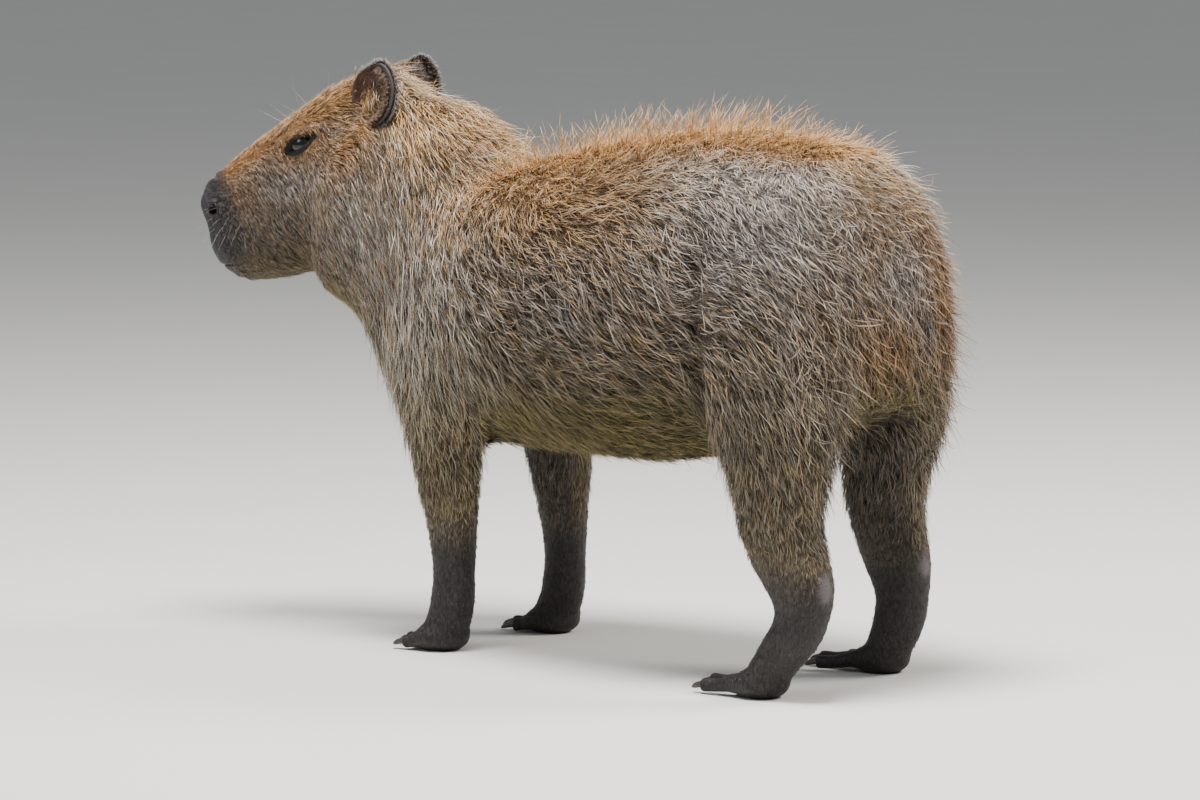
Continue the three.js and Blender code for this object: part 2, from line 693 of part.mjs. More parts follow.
// A frame at a place, with its third axis along "out" and its second as near "up" as that allows.
function frameAt(place, up, out) {
  const across = new THREE.Vector3().crossVectors(vector(up), vector(out)).normalize();
  const outward = vector(out).normalize();
  const upward = new THREE.Vector3().crossVectors(outward, across);
  return new THREE.Matrix4().makeBasis(across, upward, outward).setPosition(...place);
}

function eyeSlit(side) {
  const { length, top, bottom } = EYE_SLIT;
  const shape = new THREE.Shape();
  shape.moveTo(-length / 2, 0);
  shape.quadraticCurveTo(0, -bottom, length / 2, 0);
  shape.quadraticCurveTo(0, top, -length / 2, 0);
  const geometry = new THREE.ExtrudeGeometry(shape, { depth: 30, bevelEnabled: false, curveSegments: 6 });
  return solidOf(geometry.applyMatrix4(frameAt(eyeCentre(side), [0, 0, 1], [-0.15, side, 0.2])));
}

const earPlace = (side) => frameAt([134, side * 62, 54], [0.44, side * 0.24, 0.87], [-0.25, side, 0.12]);

function earBlank(side, grow = 0) {
  const { width, height, depth } = EAR_SIZE;
  const half = [width, height, depth].map((extent) => extent / 2 + grow);
  return placed(ball([0, 0, 0], half, 12, 8), earPlace(side));
}

function ear(side) {
  const { width, height, depth, wall } = EAR_SIZE;
  const cup = ball([0, 3, depth * 0.42], [width / 2 - wall, height / 2 - wall, depth * 0.62], 12, 8);
  const rim = beyond(new THREE.Vector3(0, 0, depth * 0.1), Z_AXIS);
  return largest(earBlank(side).subtract(placed(joined([cup, rim]), earPlace(side))));
}

// A thin sheet across the muzzle that follows a line of [x, z] points.
function sheet(line, thickness) {
  const curve = new THREE.CatmullRomCurve3(line.map(([x, z]) => new THREE.Vector3(x, z, 0)));
  const upper = curve.getPoints(6).map((p) => new THREE.Vector2(p.x, p.y + thickness / 2));
  const lower = curve.getPoints(6).map((p) => new THREE.Vector2(p.x, p.y - thickness / 2));
  const shape = new THREE.Shape([...lower, ...upper.reverse()]);
  const geometry = new THREE.ExtrudeGeometry(shape, { depth: 200, bevelEnabled: false });
  return solidOf(geometry.translate(0, 0, -100).rotateX(Math.PI / 2));
}

const MOUTH_LINE = [[-134, -55], [-104, -60], [-74, -68]];

function head() {
  const onBody = (p) => fleshField(p.clone().applyMatrix4(headPlace));
  let solid = behind(skinOf(onBody, [-130, -100, -146], [216, 100, 118], 13), headSeam);
  const lids = SIDES.map((side) => eyeBall(side, GAP + LID_THICKNESS));
  solid = joined([solid, ...lids]);
  const mouth = sheet(MOUTH_LINE, 3.2).subtract(muzzleDepth(6));
  // Between the halves of the upper lip
  const slot = new THREE.BoxGeometry(60, 2.4, 44).translate(-106, 0, -34);
  solid = solid.subtract(joined([mouth, solidOf(slot).subtract(muzzleDepth(3))]));
  for (const side of SIDES) {
    const nostrilPlace = frameAt([-102, side * 27, 1], [0.3, 0, 1], [-0.6, side, 0]);
    const nostril = placed(ball([0, 0, 0], [8, 5, 9], 10, 6), nostrilPlace);
    solid = solid.subtract(joined([eyeBall(side, GAP), eyeSlit(side)]));
    solid = solid.subtract(joined([earBlank(side, GAP), nostril]));
  }
  return largest(solid);
}

// Build

const group = new THREE.Group();
const finish = (color, roughness) => new THREE.MeshStandardMaterial({ color, roughness, metalness: 0 });
const coat = finish(0x8a7358, 0.95);
const shortCoat = finish(0x4a4038, 0.9);
const bareSkin = finish(0x3a3432, 0.75);
const eyeball = finish(0x1a1412, 0.08);
const claw = finish(0x2b2522, 0.45);

function addNode(name, solid, material) {
  const mesh = new THREE.Mesh(geometryOf(solid), material);
  mesh.name = name;
  group.add(mesh);
}

addNode("torso", torso(), coat);
addNode("neck", neckPiece(), coat);
addNode("head", placed(head(), headPlace), coat);
for (const side of SIDES) {
  addNode(`eye_${nameOf(side)}`, placed(eyeBall(side), headPlace), eyeball);
  addNode(`ear_${nameOf(side)}`, placed(ear(side), headPlace), bareSkin);
  addNode(`thigh_${nameOf(side)}`, thigh(side), coat);
  addNode(`shank_${nameOf(side)}`, shank(side), shortCoat);
  addNode(`foreleg_${nameOf(side)}`, foreleg(side), shortCoat);
}
for (const plan of footPlans) {
  addNode(`${plan.name}_${nameOf(plan.side)}`, foot(plan), bareSkin);
  plan.toes.forEach((toe, i) => {
    addNode(`${plan.name}_claw_${nameOf(plan.side)}_${i + 1}`, clawSolid(plan, toe), claw);
  });
}

// The origin goes to the middle of the animal's box, on the floor.
const extent = new THREE.Box3().setFromObject(group);
const middle = extent.getCenter(new THREE.Vector3());
group.position.set(-middle.x, -middle.y, 0);

export default group;
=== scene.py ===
# %% [markdown]
# # A standing capybara
#
# A capybara is a large rodent: a barrel of a trunk on short dark legs, a deep blunt head and a
# coarse, thin coat of bristles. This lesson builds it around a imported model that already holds
# its sizes. We make one smooth skin, then eyes, ears and claws, and then grow the coat as many
# thin solid tufts that follow the lie of the hair.

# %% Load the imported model
import math

import bmesh
import bpy
import numpy as np
from mathutils import Matrix, Vector


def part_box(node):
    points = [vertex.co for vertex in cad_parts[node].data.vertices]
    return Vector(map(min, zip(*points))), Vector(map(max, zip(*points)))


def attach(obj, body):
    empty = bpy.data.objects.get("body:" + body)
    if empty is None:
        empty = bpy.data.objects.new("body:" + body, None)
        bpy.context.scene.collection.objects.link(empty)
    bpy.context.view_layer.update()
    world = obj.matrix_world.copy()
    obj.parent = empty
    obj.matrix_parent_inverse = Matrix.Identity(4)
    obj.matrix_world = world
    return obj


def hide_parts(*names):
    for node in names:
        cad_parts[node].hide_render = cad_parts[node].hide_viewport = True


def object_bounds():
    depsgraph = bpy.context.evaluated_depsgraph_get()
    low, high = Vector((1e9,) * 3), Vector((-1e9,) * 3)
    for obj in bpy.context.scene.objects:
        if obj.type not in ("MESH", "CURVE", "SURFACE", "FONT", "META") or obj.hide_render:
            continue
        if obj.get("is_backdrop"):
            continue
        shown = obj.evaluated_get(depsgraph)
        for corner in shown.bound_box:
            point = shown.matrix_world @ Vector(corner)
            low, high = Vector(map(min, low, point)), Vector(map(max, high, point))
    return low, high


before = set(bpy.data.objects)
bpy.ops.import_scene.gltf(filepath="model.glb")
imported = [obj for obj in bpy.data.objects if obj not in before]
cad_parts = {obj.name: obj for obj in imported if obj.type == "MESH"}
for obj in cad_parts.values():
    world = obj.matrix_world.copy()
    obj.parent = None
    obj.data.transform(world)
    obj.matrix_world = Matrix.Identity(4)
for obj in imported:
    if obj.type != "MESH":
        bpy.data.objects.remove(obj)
cad_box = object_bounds()
print("nodes in the frame:", len(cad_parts))

# %% [markdown]
# ## One place and one scale
#
# The shapes below are worked out in millimetres, from the middle of the trunk on the floor. The
# frame is in metres and its middle is the middle of the whole box, so one shift takes us there.
# The left eye tells us that shift: we know where it sits in the head, and the frame says where
# it is.

# %% The head's place, and the way into the frame
MM = 0.001
LEFT, RIGHT = -1, 1
HANDS = {LEFT: "left", RIGHT: "right"}
HEAD_PLACE = np.array((-368.0, -80.0, 493.0))
HEAD_YAW, HEAD_PITCH = math.radians(25), math.radians(-20)
EYE_PLACE = np.array((31.0, 47.0, 35.0))
EYE_CENTRE = EYE_PLACE + (3.0, 0.5, -2.0)  # the middle of the finished eyeball
EYE_RADIUS = 13.0


def turn(axis, angle):
    return np.array(Matrix.Rotation(angle, 3, axis))


HEAD_TURN = turn("Z", HEAD_YAW) @ turn("Y", HEAD_PITCH)


def from_head(points):
    """Takes points from the head's own frame, nose to -X and crown to +Z, to the body's."""
    return points @ HEAD_TURN.T + HEAD_PLACE


def to_head(points):
    return (points - HEAD_PLACE) @ HEAD_TURN


def crown_share(normals):
    """How much each normal points to the crown of the head: 1 at the top, -1 under the jaw."""
    return (normals @ HEAD_TURN)[:, 2]


def side_of(place, side):
    """A place given for the right side of the head or body, on the side that is asked for."""
    return place * np.array((1, side, 1))


def eye_distance(local):
    """How far each place is from the nearer eye, in the head's own frame."""
    away = [np.linalg.norm(local - side_of(EYE_CENTRE, side), axis=1) for side in HANDS]
    return np.minimum(*away)


eye_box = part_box("eye_left")
SHIFT = np.array((eye_box[0] + eye_box[1]) / 2) - from_head(side_of(EYE_PLACE, LEFT)) * MM
SHIFT[2] = 0


def to_frame(points):
    return points * MM + SHIFT


print("shift into the frame:", np.round(SHIFT, 4))

# %% [markdown]
# ## Flesh as one field
#
# Muscle runs into muscle with no seam, so separate lofted tubes would show their joins. Instead
# each part is a field: a rule that says how far outside it any point is. Two fields blend into
# one with the crease between them filled, and the skin is where the blended field is zero. A
# row of stations, each with a half-width and half-heights, makes a "rod" for trunk, neck, head
# and legs.

# %% A smooth curve
FAR = 200.0  # what the field says where no part is near
MARGIN = 62.0  # how far outside its box a part is still worked out
JOINT_CAP = 0.35  # share of its radius that a length reaches past its end, to fill a bend
UP = np.array((0.0, 0.0, 1.0))
TAILWARD = np.array((1.0, 0.0, 0.0))


def curve_through(points, shares):
    """Places on a smooth curve through the points, which keeps close to them where they crowd."""
    points = np.asarray(points, float)
    rows = np.vstack([2 * points[0] - points[1], points, 2 * points[-1] - points[-2]])
    found = []
    for share in shares:
        place = share * (len(points) - 1)
        i = min(int(place), len(points) - 2)
        t = place - i
        a, b, c, d = rows[i:i + 4]
        ab, bc, cd = (max(np.sum((q - p) ** 2), 1e-6) ** 0.25 for p, q in ((a, b), (b, c), (c, d)))
        out_of_b = ((b - a) / ab - (c - a) / (ab + bc) + (c - b) / bc) * bc
        into_c = ((c - b) / bc - (d - b) / (bc + cd) + (d - c) / cd) * bc
        square = -3 * b + 3 * c - 2 * out_of_b - into_c
        cube = 2 * b - 2 * c + out_of_b + into_c
        found.append(b + out_of_b * t + square * t**2 + cube * t**3)
    return np.array(found)


def unit(vectors):
    """The same directions with a length of 1."""
    length = np.linalg.norm(vectors, axis=-1, keepdims=True)
    return vectors / np.maximum(length, 1e-9)


# %% A rod, as a field
def rod(stations, steps, upright, square, start_dome, end_dome):
    """A row of (centre, (half-width, half-height up, half-height down)) stations as spans."""
    shares = np.linspace(0, 1, steps + 1)
    centres = curve_through([s[0] for s in stations], shares)
    sizes = curve_through([s[1] for s in stations], shares)
    spans = []
    for i in range(steps):
        along = unit(centres[i + 1] - centres[i])
        across = unit(np.cross(upright, along))
        first = start_dome if i == 0 else JOINT_CAP * min(sizes[i][:2])
        last = end_dome if i == steps - 1 else JOINT_CAP * min(sizes[i + 1][:2])
        length = np.linalg.norm(centres[i + 1] - centres[i])
        frame_of = (along, across, np.cross(along, across))
        spans.append((centres[i], length, frame_of, sizes[i], sizes[i + 1], first, last))
    reach = sizes.max() + MARGIN
    low, high = centres.min(0) - reach, centres.max(0) + reach
    return {"spans": spans, "square": square, "low": low, "high": high}


def rod_depth(form, points):
    """How far outside the rod each point is, in millimetres, and negative inside."""
    depth = np.full(len(points), FAR, np.float32)
    near = np.all((points > form["low"]) & (points < form["high"]), axis=1)
    inside_box = points[near]
    nearest = np.full(len(inside_box), FAR, np.float32)
    power = form["square"]
    for centre, length, (along, across, upward), begin, end, first, last in form["spans"]:
        offset = inside_box - centre.astype(np.float32)
        run = offset @ along
        reach = np.clip(run, 0, length)
        size = begin + (end - begin) * (reach / length)[:, None]
        past = np.abs(run - reach) / np.where(reach > 0, last, first)
        wide = np.abs(offset @ across) / size[:, 0]
        rise = offset @ upward
        high = np.where(rise > 0, rise / size[:, 1], -rise / size[:, 2])
        share = (wide**power + high**power + past**power) ** (1 / power)
        distance = np.sqrt(np.maximum((offset**2).sum(1) - run**2 + (run - reach) ** 2, 1e-6))
        nearest = np.minimum(nearest, distance * (1 - 1 / np.maximum(share, 1e-3)))
    depth[near] = nearest
    return depth


# %% Swellings, and blending two fields
def swelling_depth(centre, radii, points):
    offset = points - np.asarray(centre, np.float32)
    share = np.maximum(np.linalg.norm(offset / np.asarray(radii, np.float32), axis=1), 1e-3)
    return np.linalg.norm(offset, axis=1) * (1 - 1 / share)


def blended(a, b, width):
    """Both forms as one, with the crease between them filled over the width."""
    near = np.maximum(width - np.abs(a - b), 0) / width
    return np.minimum(a, b) - near * near * width / 4


# %% [markdown]
# ## Trunk and neck
#
# The trunk is a barrel, highest over the croup and slung low at the belly. The neck is short
# and thick, and bends to the animal's left as it looks round.

# %% Trunk and neck
trunk = rod([
    ((-222, 0, 350), (92, 112, 126)),
    ((-130, 0, 366), (126, 148, 150)),
    ((-20, 0, 378), (149, 160, 162)),
    ((100, 0, 388), (158, 172, 172)),
    ((210, 0, 402), (155, 170, 166)),
    ((318, 0, 414), (134, 150, 140)),
], 12, UP, 2.2, 62, 94)

neck = rod([
    ((-50, 0, 384), (116, 122, 128)),
    ((-140, -8, 420), (104, 120, 134)),
    ((-215, -30, 460), (92, 127, 137)),
    ((-280, -50, 486), (79, 111, 123)),
], 6, UP, 2.2, 20, 44)

# %% [markdown]
# ## Head
#
# A capybara's head is a deep box: the crown and the jaw run almost level, the muzzle ends in a
# flat front, and the chewing muscles fill the cheeks. Each row gives the place along the head,
# the crown line, the jaw line and the half-width. Swellings add cheeks, brows, the rounds of the
# nostrils and the full upper lip. The lids are a ball a little larger than the eye.

# %% Head
HEAD_ROWS = [
    (-102, 20, -69, 33), (-92, 34, -83, 43), (-66, 47, -92, 48), (-32, 60, -96, 52),
    (7, 71, -98, 57), (47, 80, -99, 62), (87, 86, -99, 66), (122, 84, -96, 66),
]
LID, LID_BLEND = 2.6, 9.0  # how thick the lid is, and how softly it runs into the face
head_box = rod([
    ((x, 0, (crown + jaw) / 2), (half, (crown - jaw) / 2, (crown - jaw) / 2))
    for x, crown, jaw, half in HEAD_ROWS
], 12, UP, 2.6, 9, 40)
HEAD_SWELLINGS = [  # cheek, brow, nostril, upper lip and lids: middle, radii and blend
    ((90, 48, -30), (54, 27, 50), 26),
    ((37, 41, 48), (30, 17, 13), 14),
    ((-86, 25, 7), (20, 16, 17), 12),
    ((-82, 22, -40), (28, 26, 24), 16),
    (EYE_CENTRE, (EYE_RADIUS + LID,) * 3, LID_BLEND),
]


def head_depth(points):
    """The head's field, for points in the head's own frame."""
    depth = rod_depth(head_box, points)
    near = depth < MARGIN
    local = points[near]
    shaped = depth[near]
    for centre, radii, width in HEAD_SWELLINGS:
        for side in HANDS:
            swelling = swelling_depth(side_of(np.array(centre), side), radii, local)
            shaped = blended(shaped, swelling, width)
    depth[near] = shaped
    return depth


# %% [markdown]
# ## Legs and feet
#
# Each leg is a rod from hip or shoulder to the ball of the foot. The hind legs bend at the hock,
# and the left one is set back. Capybaras walk on their toes and pads: four toes in front and
# three behind, joined by a short web, each with a blunt claw like a small hoof.

# %% Legs
SHOULDER_SPAN = 88  # from the middle of the body to the middle of a forefoot
leg_stations = {  # place, half-width and half-depth, from the hip down to the ball of the foot
    ("hind", LEFT): [
        ((300, -74, 410), 62, 94), ((322, -94, 330), 58, 92), ((338, -108, 263), 48, 74),
        ((340, -108, 215), 39, 60), ((345, -108, 165), 33, 49), ((371, -108, 118), 29, 41),
        ((373, -108, 88), 28, 31), ((347, -108, 50), 28, 25), ((322, -108, 20), 30, 19),
    ],
    ("hind", RIGHT): [
        ((288, 74, 410), 62, 94), ((300, 92, 330), 56, 90), ((306, 104, 263), 47, 71),
        ((304, 105, 210), 39, 54), ((308, 105, 160), 33, 45), ((323, 105, 117), 29, 42),
        ((329, 105, 86), 27, 33), ((321, 105, 48), 28, 27), ((306, 105, 20), 30, 21),
    ],
}
for side in HANDS:
    y = side * SHOULDER_SPAN
    leg_stations["fore", side] = [
        ((-158, y * 0.8, 350), 40, 72), ((-152, y * 0.94, 285), 42, 60), ((-142, y, 220), 36, 45),
        ((-134, y, 150), 29, 33), ((-130, y, 90), 25, 26), ((-134, y, 45), 26, 24),
        ((-144, y, 20), 29, 23),
    ]
legs = {
    key: rod([(at, (wide, deep, deep)) for at, wide, deep in rows],
             16 if key[0] == "hind" else 12, TAILWARD, 2, 30, 14)
    for key, rows in leg_stations.items()
}

# %% Toes
TOES = {
    "hind": [(-17, -12, 58), (0, 0, 72), (17, 12, 58)],  # offset, spread in degrees, length
    "fore": [(-20, -22, 28), (-7, -7, 40), (7, 7, 40), (20, 22, 28)],
}
TOE_IN = 8  # degrees that each foot points towards the middle
FOOT_TOP = 60  # no pad or toe reaches above this height


def toe_line(leg, side, toe):
    """Where a toe starts, which way it points and where it ends, on the floor plan."""
    offset, spread, length = toe
    ankle = np.array(leg_stations[leg, side][-1][0], float)
    heading = math.radians(spread + side * TOE_IN)
    way = np.array((-math.cos(heading), -math.sin(heading), 0))
    start = np.array((ankle[0] - 4, ankle[1] - offset, 0))
    return start, way, start + way * length


def at_height(place, height):
    return (place[0], place[1], height)


toes = []
for leg, side in leg_stations:
    for toe in TOES[leg]:
        start, way, end = toe_line(leg, side, toe)
        knuckle = start + (end - start) * 0.45
        toes.append(rod([
            (at_height(start, 17), (10, 11, 11)), (at_height(knuckle, 13), (9.4, 10, 10)),
            (at_height(start + (end - start) * 0.7, 10), (8.2, 8, 8)),
            (at_height(end, 9.2), (8.6, 8.6, 8.6)),
        ], 4, UP, 2.2, 6, 5))
pads = [
    (np.array(rows[-1][0], float) * (1, 1, 0) + (-4, 0, 13), (29, 30, 17))
    for rows in leg_stations.values()
]

# %% The whole field
NECK_BLEND, HEAD_BLEND, LEG_BLEND, TOE_BLEND = 40, 30, 36, 9


def flesh_depth(points):
    """The whole animal's field, for points in the body's frame."""
    points = points.astype(np.float32)
    depth = blended(rod_depth(trunk, points), rod_depth(neck, points), NECK_BLEND)
    depth = blended(depth, head_depth(to_head(points).astype(np.float32)), HEAD_BLEND)
    for leg in legs.values():
        depth = blended(depth, rod_depth(leg, points), LEG_BLEND)
    low = points[:, 2] < FOOT_TOP
    foot = points[low]
    shaped = depth[low]
    for centre, radii in pads:
        shaped = blended(shaped, swelling_depth(centre, radii, foot), TOE_BLEND)
    for toe in toes:
        shaped = blended(shaped, rod_depth(toe, foot), TOE_BLEND)
    depth[low] = shaped
    return depth


def smooth(values, low, high):
    """0 below low, 1 above high, and smooth between them."""
    share = np.clip((values - low) / (high - low), 0, 1)
    return share * share * (3 - 2 * share)


def bump(values, width):
    """1 at 0, and falling off on both sides over the width."""
    return np.exp(-(values / width) ** 2)


def head_share(points):
    """1 on the head, 0 on the trunk and legs, and smooth between them over the neck."""
    local = to_head(points)
    return (1 - smooth(local[:, 0], 80, 155)) * smooth(local[:, 2], -165, -125)


# %% [markdown]
# ## From field to skin
#
# We sample the field on a grid and put one point in each cell that the surface crosses, which
# gives an even net of four-sided faces: good to smooth, to divide and to grow hair on. On the
# trunk and legs each value is averaged with its neighbours, so that muscle runs on softly. The
# skin lies inside the outline by the depth of the coat, so that the coat brings it back out.

# %% Sample the field on a grid
CELL = 5.0
GRID_LOW = np.array((-500.0, -215.0, -20.0))
GRID_SIZE = (200, 86, 136)
SOFTENING = 1.7  # cells
COAT_BED, RIDGE_BED, SHIN_BED = 6.0, 6.0, 1.5  # depth of the coat, and what the ridge adds
FACE_BED = ((-104, -60, 0, 60, 130), (0.3, 1.0, 2.0, 3.4, 6.0))
axes = [GRID_LOW[k] + CELL * np.arange(GRID_SIZE[k]) for k in range(3)]
grid_points = np.stack(np.meshgrid(*axes, indexing="ij"), -1).reshape(-1, 3).astype(np.float32)


def bed_depth(points):
    """How deep under the outline the skin lies: more where the coat is long."""
    local = to_head(points)
    head = head_share(points)
    face = np.interp(local[:, 0], *FACE_BED)
    face = face + 2 * smooth(local[:, 2], 30, 75) * smooth(local[:, 0], -60, 20)
    for side in HANDS:
        face = face * (1 - bump(np.linalg.norm(local - side_of(EYE_PLACE, side), axis=1), 30))
    ridge = bump(points[:, 1], 80) * smooth(points[:, 2], 460, 540)
    ridge = ridge * smooth(points[:, 0], -190, -90)
    body = SHIN_BED + (COAT_BED - SHIN_BED) * smooth(points[:, 2], 120, 260) + RIDGE_BED * ridge
    return face * head + body * (1 - head)


def exact_share(points):
    """Where the skin follows the field to the letter: on the head and the feet."""
    return np.maximum(head_share(points), 1 - smooth(points[:, 2], 45, 85))


# %% Soften, notch and sample
def softened(values, reach):
    """Each grid value averaged with its neighbours."""
    steps = np.arange(-4, 5)
    weights = np.exp(-(steps**2) / (2 * reach**2))
    weights /= weights.sum()
    for axis in range(3):
        values = sum(w * np.roll(values, k, axis) for k, w in zip(steps, weights))
    return values


DIP_X, DIP_REACH, DIP_DEPTH = -108, 44, 31


def withers_dip(points):
    """The notch where the nape ends and the ridge of the back begins, in millimetres."""
    x, y, z = points.T
    return DIP_DEPTH * bump(x - DIP_X, DIP_REACH) * bump(y + 10, 85) * smooth(z, 455, 525)


field = flesh_depth(grid_points).reshape(GRID_SIZE)
exact = exact_share(grid_points).reshape(GRID_SIZE)
grid = softened(field, SOFTENING) * (1 - exact) + field * exact
grid += (bed_depth(grid_points) + withers_dip(grid_points)).reshape(GRID_SIZE)
slopes = [s.astype(np.float32) / CELL for s in np.gradient(grid)]
print("grid of", grid.size, "points, inside:", int((grid < 0).sum()))


def sampled(values, points):
    """Values between grid points, weighed by nearness."""
    place = (points - GRID_LOW) / CELL
    place = np.clip(place, 0, np.array(GRID_SIZE) - 1.001)
    corner = place.astype(int)
    share = place - corner
    total = np.zeros(len(points))
    for i in (0, 1):
        for j in (0, 1):
            for k in (0, 1):
                weight = np.ones(len(points))
                for axis, bit in enumerate((i, j, k)):
                    weight = weight * (share[:, axis] if bit else 1 - share[:, axis])
                total += weight * values[corner[:, 0] + i, corner[:, 1] + j, corner[:, 2] + k]
    return total


def facing(points):
    return unit(np.stack([sampled(slope, points) for slope in slopes], -1))


# %% Net the surface
def net(depth):
    """One point in each cell that the surface crosses, and the four-sided faces between them."""
    inside = depth < 0
    shape = np.array(depth.shape) - 1
    bits = np.array([(i, j, k) for i in (0, 1) for j in (0, 1) for k in (0, 1)])
    view = [tuple(slice(b, b + n) for b, n in zip(bit, shape)) for bit in bits]
    count = sum(inside[v].astype(np.int8) for v in view)
    cells = np.argwhere((count > 0) & (count < 8))
    values = np.stack([depth[v][tuple(cells.T)] for v in view], 1)
    total = np.zeros((len(cells), 3))
    hits = np.zeros(len(cells))
    for a in range(8):
        for b in range(a + 1, 8):
            if np.abs(bits[a] - bits[b]).sum() != 1:
                continue
            crossed = (values[:, a] < 0) != (values[:, b] < 0)
            gap = np.where(crossed, values[:, a] - values[:, b], 1)
            share = values[:, a] / gap
            total[crossed] += bits[a] + share[crossed, None] * (bits[b] - bits[a])
            hits += crossed
    points = (cells + total / hits[:, None]) * CELL + GRID_LOW
    number = np.full(shape, -1)
    number[tuple(cells.T)] = np.arange(len(cells))
    faces = []
    for axis in range(3):
        one, two = [(1, 2), (2, 0), (0, 1)][axis]
        begin = [slice(1, n) for n in shape]
        begin[axis] = slice(0, shape[axis])
        ahead = list(begin)
        ahead[axis] = slice(1, shape[axis] + 1)
        here, there = inside[tuple(begin)], inside[tuple(ahead)]
        for leaving in (True, False):
            edges = np.argwhere((here != there) & (here == leaving))
            edges += [0 if k == axis else 1 for k in range(3)]
            ring = []
            for back_one, back_two in ((1, 1), (0, 1), (0, 0), (1, 0)):
                cell = edges.copy()
                cell[:, one] -= back_one
                cell[:, two] -= back_two
                ring.append(number[tuple(cell.T)])
            faces.append(np.stack(ring if leaving else ring[::-1], 1))
    return points, np.concatenate(faces)


skin_points, skin_faces = net(grid)
print("skin net:", len(skin_points), "points,", len(skin_faces), "faces")

# %% [markdown]
# ## Finer faces where the animal has fine forms
#
# Bristles hide the trunk's skin, but the face and feet show theirs. A subdivision modifier would
# divide everything alike, so we divide only the faces that need it: the head once, the muzzle and
# the eyes twice, the lids and nostrils three times, and the feet once. Then every point goes back
# to the true surface.

# %% Which faces are divided
NOSTRIL = np.array((-87.0, 34.0, -0.5))
MOUTH_CORNER = -74.0


def close_to(local, place, reach):
    mirrored = np.stack([local[:, 0], np.abs(local[:, 1]), local[:, 2]], -1)
    return np.linalg.norm(mirrored - place, axis=1) < reach


def needs_first(points):
    return (head_share(points) > 0.6) | (points[:, 2] < 62)


def needs_second(points):
    local = to_head(points)
    muzzle = (local[:, 0] < -52) & (head_share(points) > 0.9)
    return muzzle | close_to(local, EYE_PLACE + (0, 8, 2), 36)


def needs_third(points):
    local = to_head(points)
    lips = (local[:, 0] < MOUTH_CORNER + 8) & (np.abs(local[:, 2] + 62) < 12)
    return close_to(local, EYE_PLACE + (0, 10, 1), 27) | close_to(local, NOSTRIL, 17) | lips


def points_of(bm):
    return np.array([v.co for v in bm.verts])


# %% Divide them, and put every point back on the true surface
skin_mesh = bpy.data.meshes.new("skin")
skin_mesh.from_pydata(skin_points.tolist(), [], skin_faces.tolist())
bm = bmesh.new()
bm.from_mesh(skin_mesh)
for needs in (needs_first, needs_second, needs_third):
    chosen = needs(points_of(bm))
    bm.verts.index_update()
    edges = [e for e in bm.edges if chosen[e.verts[0].index] and chosen[e.verts[1].index]]
    bmesh.ops.subdivide_edges(bm, edges=edges, cuts=1, use_grid_fill=True)
bmesh.ops.triangulate(bm, faces=[f for f in bm.faces if len(f.verts) > 4])
bm.to_mesh(skin_mesh)
places = points_of(bm)
bm.free()
exact = exact_share(places)
followed = exact > 0
for repeat in range(2):
    depth = sampled(grid, places)
    to_the_letter = flesh_depth(places[followed]) + bed_depth(places[followed])
    depth[followed] += (to_the_letter - depth[followed]) * exact[followed]
    places = places - facing(places) * depth[:, None]
print("skin:", len(places), "points")

# %% [markdown]
# ## Lids, nostrils, mouth and folds
#
# The field gives the large forms. Folds and openings are pushed in along the surface, as a
# modeller would press them into clay: the slit between the lids, a fold over and under them, the
# comma of each nostril with its wing, the line of the short mouth and the cleft of the lip.

# %% The slit of the eye
EYE_OUT = np.array((0.1, 1.0, 0.2))
SLIT_HALF, SLIT_TOP, SLIT_BOTTOM, SLIT_TILT, SLIT_FULLER = 19.0, 6.2, 8.2, 0.14, 0.28
CORNER_FRONT, CORNER_REAR = 9.0, 17.0  # how far the dark skin runs on past the opening
LID_FOLDS = (  # from the slit's top or bottom edge: how far up, how wide, and how far out
    ("top", 5.0, 1.5, -1.5),
    ("bottom", -4.6, 1.4, -1.1),
    ("bottom", -9.8, 2.2, -0.8),
    ("top", 9.5, 3.5, 1.6),
)


def eye_frame(side):
    """Forward, upward and outward, at the eye on that side, in the head's own frame."""
    outward = unit(side_of(EYE_OUT, side))
    forward = unit(np.cross(UP, outward)) * side
    return forward, np.cross(outward, forward) * side, outward


def slit_heights(forward):
    """The upper and lower edge of the opening, at places along it. It is fuller in front."""
    share = forward / SLIT_HALF
    arc = np.maximum(1 - share**2, 0) * (1 + SLIT_FULLER * share)
    middle = -SLIT_TILT * forward
    return middle + SLIT_TOP * arc, middle - SLIT_BOTTOM * arc


